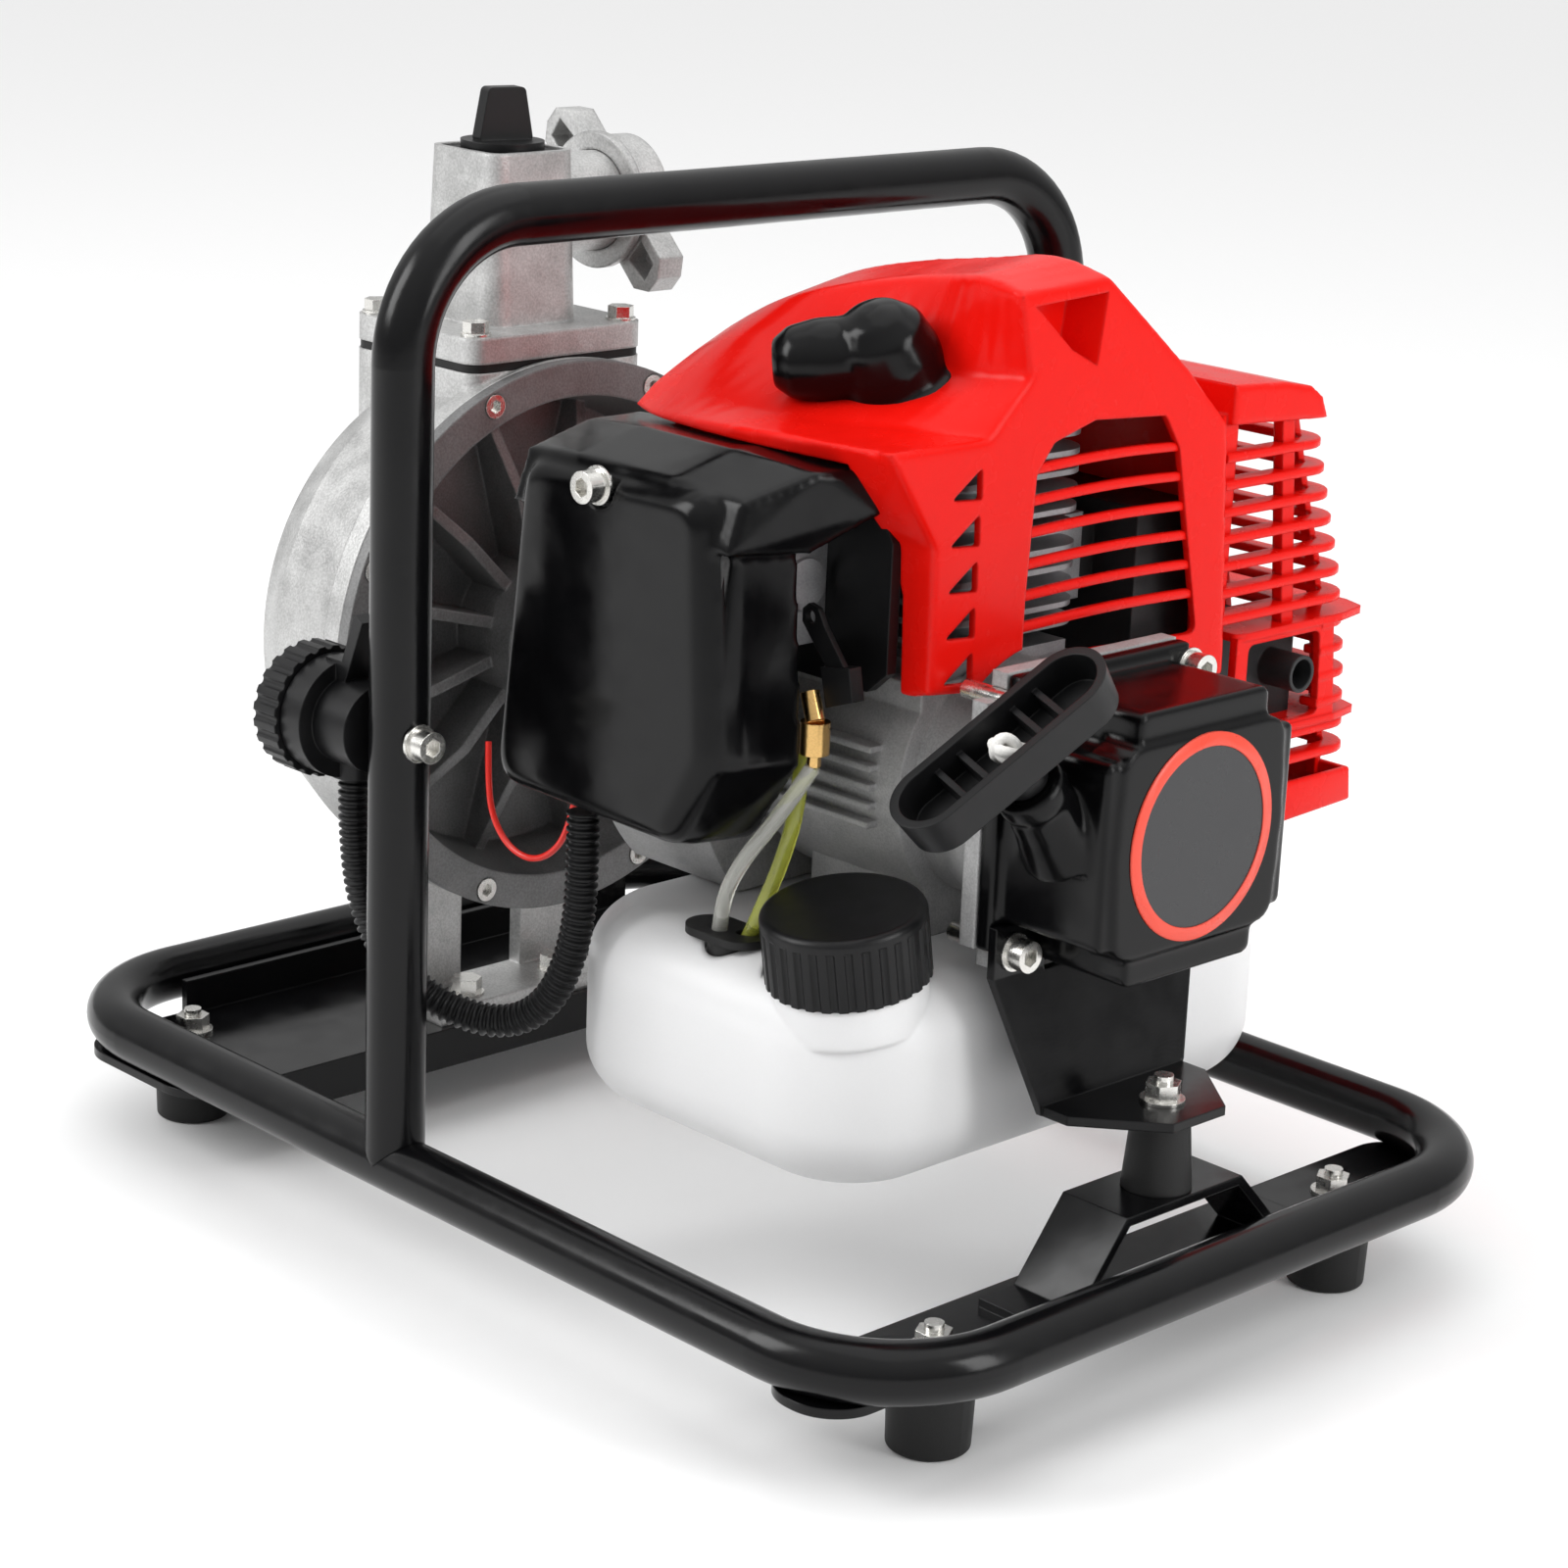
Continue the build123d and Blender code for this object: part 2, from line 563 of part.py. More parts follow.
def make_suction():
    seat = DRUM_FACE_X - 6
    inlet = block((seat - 6, seat), (-33, 33), (SUCTION_Z - 33, SUCTION_Z + 33))
    inlet = fillet(inlet.edges().filter_by(Axis.X), 7)
    inlet += x_rod(SUCTION_END, seat - 5, PORT_R, 0, SUCTION_Z)
    inlet -= x_rod(SUCTION_END - 1, seat + 1, PORT_BORE, 0, SUCTION_Z)
    for y, z in four(25, 25, (0, SUCTION_Z)):
        inlet -= x_rod(seat - 7, seat + 1, M5_R + CLEAR, y, z)
    pivot_z = SUCTION_Z + 19.5
    save("suction_inlet", inlet)
    flap = x_rod(DRUM_FACE_X + 5.2, DRUM_FACE_X + 7.2, 18, 0, SUCTION_Z)
    flap += x_rod(DRUM_FACE_X + 7, DRUM_FACE_X + 8.6, 11, 0, SUCTION_Z)
    flap += block((DRUM_FACE_X + 5.2, DRUM_FACE_X + 7.2), (-9, 9), (SUCTION_Z, pivot_z))
    hinge_x = DRUM_FACE_X + 6.2
    flap += rod((hinge_x, -9, pivot_z), (hinge_x, 9, pivot_z), 1.2)
    save("check_flap", flap)


def make_drain_plug():
    seat = DRUM_FACE_X - 5
    plug = hex_prism((seat - 1.2, 0, 100), (-1, 0, 0), 17, 8)
    plug += x_rod(seat - 1.5, seat - 0.2, 10.5, 0, 100)
    save("drain_plug", plug + x_rod(seat - 1, seat + 14, 6.9, 0, 100))


# ---- Engine core ----
def make_crankcase():
    x0, x1 = CASE_X
    body = x_rod(x0, x1, CASE_R) + block((x0, x1), (-36, 36), (AXIS_Z, 205))
    body -= block((x0 - 1, x1 + 1), (-50, 50), (205, 240))
    body += block((x0 + 12, x1), (-30, 30), (TANK_Z[1], AXIS_Z))
    body += turned([(x1 - 1, 0), (x1 - 1, 38), (x1 + 10, 38), (130, 44), (134, 44), (134, 0)])
    body += prism_x(notched_square(RECOIL_HALF + 4, 8), 132, STARTER_CASE_END)
    for i in range(5):
        z = AXIS_Z - 12 + 6 * i
        body += block((x0 + 8, x1 - 10), (-47, -30), (z, z + 2))
    body -= x_rod(CYL_X - 17, CYL_X + 17, 29)
    body -= x_rod(x0 + 3, x1 - 4, BEARING_R)
    body -= x_rod(x0 - 1, x1 + 1, 9.5)
    body -= turned([(x1 - 2, 0), (x1 - 2, 30), (112, 34), (128, 40), (139, 40), (139, 0)])
    body -= rod((CYL_X, 0, AXIS_Z), (CYL_X, 0, 206), 23)
    for y, z in four(RECOIL_SCREW, RECOIL_SCREW, (0, AXIS_Z)):
        body -= x_rod(120, 140, M6_R + CLEAR, y, z)
    save("crankcase", body)


def notched_square(half, notch):
    """Square about the shaft line in Y and Z, with a square bite out of each corner."""
    inner = half - notch
    points = []
    for sy, sz in ((1, 1), (-1, 1), (-1, -1), (1, -1)):
        corner = [(half * sy, inner * sz), (inner * sy, inner * sz), (inner * sy, half * sz)]
        points += corner if sy == sz else corner[::-1]
    return [(y, AXIS_Z + z) for y, z in points]


def make_cylinder():
    barrel = rod((CYL_X, 0, 205), (CYL_X, 0, HEAD_Z), 25)
    barrel += block((CYL_X - 30, CYL_X + 30), (-30, 30), (205, 210))
    for i in range(11):
        z = 216 + 6 * i
        fin = extrude(RectangleRounded(2 * FIN_HALF, 2 * FIN_HALF, 12), 1.8)
        barrel += Pos(CYL_X, 0, z) * fin
    barrel += block((INTAKE_X - 16, INTAKE_X + 16), (-46, -20), (219, 247))
    barrel += block((CYL_X - 20, CYL_X + 20), (20, 46), (219, 247))
    barrel += rod(PLUG_FOOT, PLUG_FOOT + PLUG_DIRECTION * 14, 13)
    barrel -= rod((CYL_X, 0, 200), (CYL_X, 0, 268), BORE / 2)
    barrel -= rod(PLUG_FOOT - PLUG_DIRECTION * 6, PLUG_FOOT + PLUG_DIRECTION * 20, 7)
    barrel -= rod(PLUG_FOOT + PLUG_DIRECTION * 14, PLUG_FOOT + PLUG_DIRECTION * 30, 13.5)
    barrel -= rod((INTAKE_X, -50, 233), (INTAKE_X, -15, 233), 8)
    barrel -= rod((CYL_X, 15, 233), (CYL_X, 50, 233), 9)
    save("cylinder", barrel)


def make_piston():
    crown = AXIS_Z + STROKE / 2 + 56 + 16
    piston = rod((CYL_X, 0, crown - 30), (CYL_X, 0, crown), BORE / 2 - 0.3)
    piston -= rod((CYL_X, 0, crown - 31), (CYL_X, 0, crown - 5), BORE / 2 - 3.5)
    pin_z = crown - 16
    piston += x_rod(CYL_X - 18, CYL_X + 18, 5, 0, pin_z)
    save("piston", piston)
    con_rod = x_rod(CYL_X - 5, CYL_X + 5, 8, 0, pin_z)
    con_rod += block((CYL_X - 3, CYL_X + 3), (-4, 4), (199.5, pin_z - 6))
    con_rod -= x_rod(CYL_X - 6, CYL_X + 6, 5.1, 0, pin_z)
    save("connecting_rod", con_rod)


def make_crankshaft():
    pin_z = AXIS_Z + STROKE / 2
    shaft = x_rod(-152, -95, SHAFT_R) + x_rod(-95, CYL_X - 15, JOURNAL_R)
    shaft += x_rod(CYL_X - 15, CYL_X - 7, 27) + x_rod(CYL_X + 7, CYL_X + 15, 27)
    shaft += x_rod(CYL_X - 8, CYL_X + 8, 6, 0, pin_z) + x_rod(CYL_X + 15, 136, JOURNAL_R)
    shaft += x_rod(CYL_X - 5, CYL_X + 5, 9.5, 0, pin_z)
    save("crankshaft", shaft)
    bearings = [x_ring(x, x + 9, BEARING_R - 0.05, JOURNAL_R + 0.05) for x in (CASE_X[0] + 4, CASE_X[1] - 14)]
    save("crank_bearings", Compound(children=[ring.solids()[0] for ring in bearings]))


def make_fan():
    wheel = x_rod(6, 12, WHEEL_R) + x_rod(2, 30, 16)
    for i in range(16):
        blade = prism_x([(-1.2, 20), (1.2, 20), (1.2, WHEEL_R), (-1.2, WHEEL_R)], 11, 28)
        wheel += Pos(0, 0, AXIS_Z) * Rot(22.5 * i, 0, 0) * blade
    save("flywheel_fan", wheel - x_rod(-10, 40, JOURNAL_R))
    x0, x1 = FAN_X
    above = block((-200, 200), (-100, 100), (HOUSING_FLOOR, 300))
    above_floor = block((-200, 200), (-100, 100), (HOUSING_FLOOR + 2.5, 300))
    housing = x_rod(x0, x1, FAN_R) & above
    housing -= x_rod(x0 + 3, x1 - 3, FAN_R - 3) & above_floor
    housing += x_rod(x1 - 3, CASE_X[0], 36) + turned(
        [(-100, 0), (-100, 30), (-88, 32), (-66, 46), (x0 + 2, 46), (x0 + 2, 0)])
    housing -= x_rod(x1 - 4, CASE_X[0] + 1, 32)
    housing -= turned([(-98, 0), (-98, 24), (-86, 28), (-64, 43), (x0 + 4, 43), (x0 + 4, 0)])
    housing -= x_rod(-101, -90, SHAFT_R + 1)
    for i in range(12):
        housing -= Pos(0, 0, AXIS_Z) * Rot(30 * i, 0, 0) * block((x0 - 1, x0 + 4), (-4, 4), (49, 60))
    for y, z in hub_screw_places():
        housing -= x_rod(-101, -97, M5_R + CLEAR, y, z)
    save("fan_housing", housing)


def make_plug():
    seat = PLUG_FOOT + PLUG_DIRECTION * 14
    plug = rod(PLUG_FOOT, seat, 6.9) + hex_prism(seat, PLUG_DIRECTION, 19, 6)
    plug += rod(seat + PLUG_DIRECTION * 5, seat + PLUG_DIRECTION * 24, 5)
    save("spark_plug", plug)
    hood_base = seat + PLUG_DIRECTION * 8
    hood_top = seat + PLUG_DIRECTION * 29
    collar = rod(hood_base, hood_base + PLUG_DIRECTION * 4, 20)
    boot = rod(hood_base, hood_top, 15) + collar
    boot += rod(hood_base + PLUG_DIRECTION * 12, hood_base + PLUG_DIRECTION * 9 + Vector(-22, -24, 0), 11.5)
    boot -= rod(seat, seat + PLUG_DIRECTION * 24.2, 5.1)
    save("spark_plug_boot", boot)


# ---- Recoil starter ----
def make_recoil():
    outer = prism_x(notched_square(RECOIL_HALF, NOTCH), STARTER_CASE_END, RECOIL_FACE)
    outer = chamfer(outer.faces().sort_by(Axis.X)[-1].edges(), 5)
    inner = prism_x(notched_square(RECOIL_HALF - COVER_WALL, NOTCH), STARTER_CASE_END - 1, RECOIL_FACE - 5)
    flange = prism_x(notched_square(RECOIL_HALF + 4, 8), STARTER_CASE_END, STARTER_CASE_END + 6)
    guide = rod(GUIDE - PULL_DIRECTION * 5, GUIDE + PULL_DIRECTION * 22, 9)
    cover = outer + guide + flange - inner
    cover -= rod(GUIDE - PULL_DIRECTION * 16, GUIDE + PULL_DIRECTION * 23, 3.2)
    cover += x_rod(150, RECOIL_FACE - 4, 6)
    for y, z in four(RECOIL_SCREW, RECOIL_SCREW, (0, AXIS_Z)):
        cover -= x_rod(130, 150, M6_R + CLEAR, y, z)
        cover -= x_rod(STARTER_CASE_END + 6, RECOIL_FACE + 5, 8.5, y, z)
    for side in (-1, 1):
        corner = sorted((side * 20, side * 60))
        cover -= block((144, 150), corner, (100, AXIS_Z - 28))
    save("recoil_cover", cover)


def make_screws():
    screws = []
    for side in (-1, 1):
        screws.append(socket_screw((144, side * RECOIL_SCREW, AXIS_Z + RECOIL_SCREW), (1, 0, 0), M6_R, 22))
        screws.append(socket_screw((147, side * RECOIL_SCREW, AXIS_Z - RECOIL_SCREW), (1, 0, 0), M6_R, 25))
    screws.append(socket_screw((36, -110, 264), (0, -1, 0), M6_R, 26))
    screws.append(socket_screw((ARCH_X + TUBE_R, CONTROL_Y, CONTROL_Z), (1, 0, 0), M6_R, 26))
    save("socket_head_screws", Compound(children=screws))


def make_reel():
    reel = x_rod(152, 166, REEL_R) - x_ring(155, 163, REEL_R + 1, ROPE_DRUM_R)
    save("starter_reel", reel - x_rod(140, 170, 6.1))
    save("starter_rope", x_ring(155.2, 162.8, 29.5, ROPE_DRUM_R + 0.1))
    ribbon = None
    for i in range(8):
        radius = 10 + 2.2 * i
        half = Pos(-2.2 * (i % 2), 0) * (Circle(radius + 0.35) - Circle(radius - 0.35))
        side = 1 if i % 2 == 0 else -1
        half &= Pos(0, side * 25) * Rectangle(80, 50)
        ribbon = half if ribbon is None else ribbon + half
    spring = extrude(Plane.YZ.offset(167.5) * ribbon, 8, dir=(1, 0, 0))
    save("starter_spring", Pos(0, 0, AXIS_Z) * spring)


def make_grip():
    centre = GUIDE + PULL_DIRECTION * GRIP_OUT
    along = (GRIP_ALONG - PULL_DIRECTION * GRIP_ALONG.dot(PULL_DIRECTION)).normalized()
    plane = Plane(origin=centre, x_dir=along, z_dir=PULL_DIRECTION)
    half = GRIP_LENGTH / 2
    boat = extrude(SlotOverall(GRIP_LENGTH, 22), 13, taper=-6)
    boat -= Pos(0, 0, 3) * extrude(SlotOverall(GRIP_LENGTH - 5, 17), 13, taper=-6)
    for x in (-half / 2, -10, 10, half / 2):
        boat += Pos(x, 0, 5) * Box(2, 19, 9)
    stem = Pos(0, 0, -7.5) * Cylinder(7, 8, align=BOTTOM)
    grip = boat + stem - Pos(0, 0, -20) * Cylinder(2.2, 40, align=BOTTOM)
    save("starter_handle", plane * grip)


# ---- Covers ----
def make_shroud():
    outline = [(-73, 282), (-66, 303), (-23, 330), (19, 326), (59, 304), (88, 288),
               (88, 196), (-47, 211), (-63, 254)]
    inside = [(-70, 282), (-64, 301), (-22, 327), (18, 323), (58, 301.5), (92, 283),
              (92, 180), (-45, 180), (-60, 254)]
    side = [(-8, 205), (-8, 275), (0, 300), (20, 314), (60, 323), (PANEL_X, 331), (PANEL_X, 190), (20, 190)]
    inside_side = [(-5, 180), (-5, 274), (2, 298), (21, 311), (61, 320),
                   (PANEL_X - COVER_WALL, 328), (PANEL_X - COVER_WALL, 180)]
    shell = prism_x(outline, -8, PANEL_X) & prism_y(side, -75, 90)
    shell -= prism_x(inside, -5, PANEL_X - COVER_WALL) & prism_y(inside_side, -72, 95)
    shell -= block((-20, 112), (-80, -20), (180, 268))
    shell -= block((-20, 112), (-80, -54), (180, 276))
    boot = PLUG_FOOT + PLUG_DIRECTION * 22
    shell -= rod(boot - PLUG_DIRECTION * 6, boot + PLUG_DIRECTION * 60, 22)
    shell -= rod(boot + PLUG_DIRECTION * 12, boot + PLUG_DIRECTION * 9 + Vector(-60, -66, 0), 14)
    shell -= x_rod(90, 130, 47) + x_rod(-20, 42, FAN_R + 0.6)
    for i in range(8):
        z = 214 + 8.5 * i
        shell -= block((110, 130), (-9, 83 - 3.4 * i), (z, z + 5))
    for i in range(4):
        z = 222 + 14 * i
        y = -38 - 3 * i
        shell -= prism_x([(y, z), (y + 9, z), (y, z + 10)], 110, 130)
    save("engine_shroud", shell)


def make_guard():
    outline = [(88.4, 288), (127, 284), (135, 271), (159, 190), (162, 157), (162, 138), (88.4, 134)]
    inside = [(80, 285.5), (125, 281.5), (132.5, 270.5), (156.5, 189.5), (159.5, 157), (159.5, 140.5), (80, 136.5)]
    guard = prism_x(outline, 16, PANEL_X) - prism_x(inside, 18.5, PANEL_X - COVER_WALL)
    for i in range(14):
        z = 152 + 9 * i
        guard -= block((34, 130), (94, 190), (z, z + 5))
    for z in (169, 204):
        flange = [(40, 130), (100, 130), (122, 145), (122, 162), (112, 165.2), (40, 165.2)]
        guard += prism_z(flange, z, z + 2.5)
    guard -= prism_x(inside, 18.5, PANEL_X - COVER_WALL)
    guard -= x_rod(90, 130, 10, 126, 188)
    save("muffler_guard", guard)


def make_muffler():
    can = block((36, 106), (54, 86), (162, 250)) + block((36, 106), (80, 138), (148, 201))
    can += block((CYL_X - 18, CYL_X + 18), (46, 56), (221, 245))
    can += x_rod(104, 120, 6.3, 126, 188)
    can -= x_rod(103, 122, 5.0, 126, 188)
    save("muffler", can)


def make_filter():
    front = [(-14, 166), (4, 273), (62, 273), (92, 262), (92, 182), (70, 160), (-10, 158)]
    inside = [(-11.5, 166), (6, 270.5), (61.5, 270.5), (89.5, 260), (89.5, 183), (69, 162.5), (-8, 160.5)]
    cover = prism_y(front, -110, -77) - prism_y(inside, -107.5, -76)
    cover += prism_y([(2, 262), (4, 273), (62, 273), (92, 262), (92, 258), (60, 262)], -78, -56)
    cover -= rod((36, -120, 264), (36, -70, 264), M6_R + CLEAR)
    cover -= rod((19, -98, 150), (19, -98, 170), CONDUIT_R + 0.5)
    save("air_filter_cover", cover)
    base = prism_y([(-8, 170), (8, 258), (86, 258), (86, 186), (68, 168)], -79.5, -77.5)
    base += rod((INTAKE_X, -79, 233), (INTAKE_X, -74, 233), 14)
    base -= rod((INTAKE_X, -90, 233), (INTAKE_X, -70, 233), 9)
    base &= prism_y([(-20, 150), (-20, 260), (88.9, 256), (88.9, 150)], -90, -60)
    save("air_filter_base", base)
    foam = prism_y([(4, 178), (14, 252), (84, 252), (84, 190), (64, 174)], -104, -80)
    save("air_filter_element", foam - rod((36, -110, 264), (36, -70, 264), 5))


def make_carburettor():
    body = block((INTAKE_X - 15, INTAKE_X + 15), (-73.8, -54.2), (217, 249))
    body += x_rod(INTAKE_X + 14, INTAKE_X + 16.8, 8, -64, 236)
    body += rod((INTAKE_X, -64, 212), (INTAKE_X, -64, 218), 5)
    body -= rod((INTAKE_X, -80, 233), (INTAKE_X, -50, 233), 7.5)
    save("carburettor", body)
    outline = [(38, 212), (38, 258), (100, 258), (104, 252), (104, 212), (96, 205), (46, 205)]
    plate = prism_y(outline, -54, -50)
    plate += block((INTAKE_X - 16, INTAKE_X + 16), (-51, -46), (219, 247))
    plate -= rod((INTAKE_X, -60, 233), (INTAKE_X, -40, 233), 8)
    save("insulator_plate", plate)


def make_levers():
    arm_outline = [(81.5, 226), (81.5, 230), (84, 232), (88, 231), (91, 226), (102, 213),
                   (98, 205), (93, 206), (94, 212)]
    lever = prism_y(arm_outline, -68, -66) + prism_y([(91, 214), (103, 216), (105, 206), (94, 202)], -69, -64)
    save("choke_lever", lever - rod((85, -70, 228), (85, -60, 228), 2.0))
    arm = rod((INTAKE_X, -64, 209.5), (INTAKE_X, -64, 211.5), 5)
    arm += block((INTAKE_X - 12, INTAKE_X), (-67, -61), (209.5, 211.5))
    save("throttle_arm", arm - rod((INTAKE_X - 10, -64, 205), (INTAKE_X - 10, -64, 215), 1.2))


# ---- Fuel system ----
def cap_axis():
    tilt = math.radians(CAP_TILT)
    return Vector(0, -math.sin(tilt), math.cos(tilt))


def tank_solid(inset):
    size = [high - low - 2 * inset for low, high in (TANK_X, TANK_Y, TANK_Z)]
    centre = [(low + high) / 2 for low, high in (TANK_X, TANK_Y, TANK_Z)]
    body = Box(*size)
    body = fillet(body.edges().filter_by(Axis.Z), 36 - inset)
    ends = body.faces().sort_by(Axis.Z)
    body = fillet(ends[0].edges() + ends[-1].edges(), 20 - inset)
    return Pos(*centre) * body


def make_tank():
    axis = cap_axis()
    tank = tank_solid(0) + rod(CAP_BASE - axis * 14, CAP_BASE - axis * 0.5, 24)
    tank -= rod(CAP_BASE - axis * 0.5, CAP_BASE + axis * 30, 27)
    tank += rod(CAP_BASE - axis * 1, CAP_BASE + axis * 14, 18.8)
    tank -= tank_solid(TANK_WALL)
    tank -= rod(CAP_BASE - axis * 20, CAP_BASE + axis * 20, 15.5)
    tank -= rod((66, -77.5, 110), (66, -77.5, 130), 8.2)
    save("fuel_tank", tank)
    grommet = rod((66, -77.5, 116.5), (66, -77.5, 123.6), 7.4)
    lip = Pos(64, -77.5, 123.6) * extrude(SlotOverall(30, 17), 2.6)
    grommet += lip
    for x, y, _ in (CLEAR_LINE[0], RETURN_LINE[0]):
        grommet -= rod((x, y, 115), (x, y, 130), FUEL_LINE_R + 0.05)
    return grommet


def make_fuel_lines():
    lines = []
    for route in (CLEAR_LINE, RETURN_LINE):
        lines.append(cord(route, FUEL_LINE_R))
    save("fuel_lines", Compound(children=[line.solids()[0] for line in lines]))
    x, y, z = CLEAR_LINE[-1]
    fitting = rod((x, y, z), (x, y, z + 4), 2.2) + rod((x, y, z + 4), (x, y, z + 14), 4.6)
    save("fuel_filter", fitting + rod((x, y, z + 14), (x - 4, y + 1, z + 22), 3))


def make_fuel_cap():
    axis = cap_axis()
    base = CAP_BASE
    cap = rod(base, base + axis * CAP_HEIGHT, CAP_R)
    cap = fillet(cap.edges().sort_by(Axis.Z)[-1], 2.5)
    plane = Plane(origin=base, z_dir=axis)
    for i in range(30):
        groove = Rot(0, 0, 12 * i) * Pos(CAP_R + 0.6, 0, 0) * Cylinder(1.5, CAP_HEIGHT - 4, align=BOTTOM)
        cap -= plane * groove
    cap -= rod(base - axis * 1, base + axis * 17.5, 19.1)
    save("fuel_cap", cap)
    gasket = rod(base + axis * 14.1, base + axis * 17.2, 18.6) - rod(base, base + axis * 20, 12)
    save("fuel_cap_gasket", gasket)


# ---- Throttle control ----
def make_control():
    post_side = ARCH_X - TUBE_R
    body = x_rod(-49.6, -40, 19, CONTROL_Y, CONTROL_Z)
    body += x_rod(-40.5, post_side - 0.1, 14, CONTROL_Y, CONTROL_Z)
    body += rod((-42, -140, 161), (-42, -140, 168), 7.5)
    body += prism_y([(-40, 192), (-36, 192), (-27, 214), (-31, 216)], CONTROL_Y - 5, CONTROL_Y + 5)
    body += block((-45, -36), (CONTROL_Y - 5, CONTROL_Y + 5), (180, 200))
    body -= x_rod(-60, -20, M6_R + CLEAR, CONTROL_Y, CONTROL_Z)
    body += x_rod(-57.5, -49, 4.42, CONTROL_Y, CONTROL_Z)
    save("throttle_control", body)
    dial = x_rod(-61, -50, DIAL_R, CONTROL_Y, CONTROL_Z)
    for i in range(24):
        angle = math.radians(15 * i)
        y = CONTROL_Y + (DIAL_R + 0.7) * math.cos(angle)
        z = CONTROL_Z + (DIAL_R + 0.7) * math.sin(angle)
        dial -= x_rod(-62, -49, 1.7, y, z)
    dial -= x_rod(-58, -49, 4.5, CONTROL_Y, CONTROL_Z)
    save("throttle_dial", dial)


def make_cords():
    save("throttle_conduit", cord(CONDUIT_ROUTE, CONDUIT_R))
    save("stop_wire", cord(WIRE_ROUTE, WIRE_R))


os.makedirs("parts", exist_ok=True)
make_frame()
make_front_strap()
make_rear_channel()
make_feet()
make_nuts()
make_front_mount()
make_support_bracket()
make_pump_casing()
make_pump_back_cover()
make_case_bolts()
make_volute()
make_impeller()
make_seal()
make_gaskets(make_tank())
make_elbow()
make_port_bolts()
make_priming_plug()
make_wing_nuts()
make_suction()
make_drain_plug()
make_crankcase()
make_cylinder()
make_piston()
make_crankshaft()
make_fan()
make_plug()
make_recoil()
make_screws()
make_reel()
make_grip()
make_shroud()
make_guard()
make_muffler()
make_filter()
make_carburettor()
make_levers()
make_fuel_lines()
make_fuel_cap()
make_control()
make_cords()
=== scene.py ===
import bmesh
import bpy
import json
import math
from mathutils import Matrix, Vector


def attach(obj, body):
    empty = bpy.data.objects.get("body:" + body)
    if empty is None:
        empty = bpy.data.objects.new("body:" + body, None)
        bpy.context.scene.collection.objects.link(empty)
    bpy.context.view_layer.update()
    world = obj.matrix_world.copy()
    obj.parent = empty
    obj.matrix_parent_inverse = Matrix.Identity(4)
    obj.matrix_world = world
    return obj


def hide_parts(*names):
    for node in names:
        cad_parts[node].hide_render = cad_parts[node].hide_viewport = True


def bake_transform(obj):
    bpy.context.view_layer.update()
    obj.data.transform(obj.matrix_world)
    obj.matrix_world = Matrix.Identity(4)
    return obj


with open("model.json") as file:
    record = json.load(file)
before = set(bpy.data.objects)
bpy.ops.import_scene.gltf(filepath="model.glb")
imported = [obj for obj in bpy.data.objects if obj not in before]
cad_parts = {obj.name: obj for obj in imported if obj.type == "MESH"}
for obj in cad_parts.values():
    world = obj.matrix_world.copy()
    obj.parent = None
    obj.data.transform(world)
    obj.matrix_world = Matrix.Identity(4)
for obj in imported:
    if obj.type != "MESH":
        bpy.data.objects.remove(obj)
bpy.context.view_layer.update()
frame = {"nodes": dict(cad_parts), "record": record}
MM = 0.001

# ---- Camera ----
camera = bpy.data.objects.new("camera", bpy.data.cameras.new("camera"))
bpy.context.scene.collection.objects.link(camera)
camera.data.lens = 84.13
camera.data.sensor_width = 36.0
camera.location = (0.83787, -0.81296, 0.49105)
camera.rotation_euler = [math.radians(turn) for turn in (73.4094, -2.3038, 46.3053)]
camera.data.clip_start = 0.05
camera.data.clip_end = 50
bpy.context.scene.camera = camera


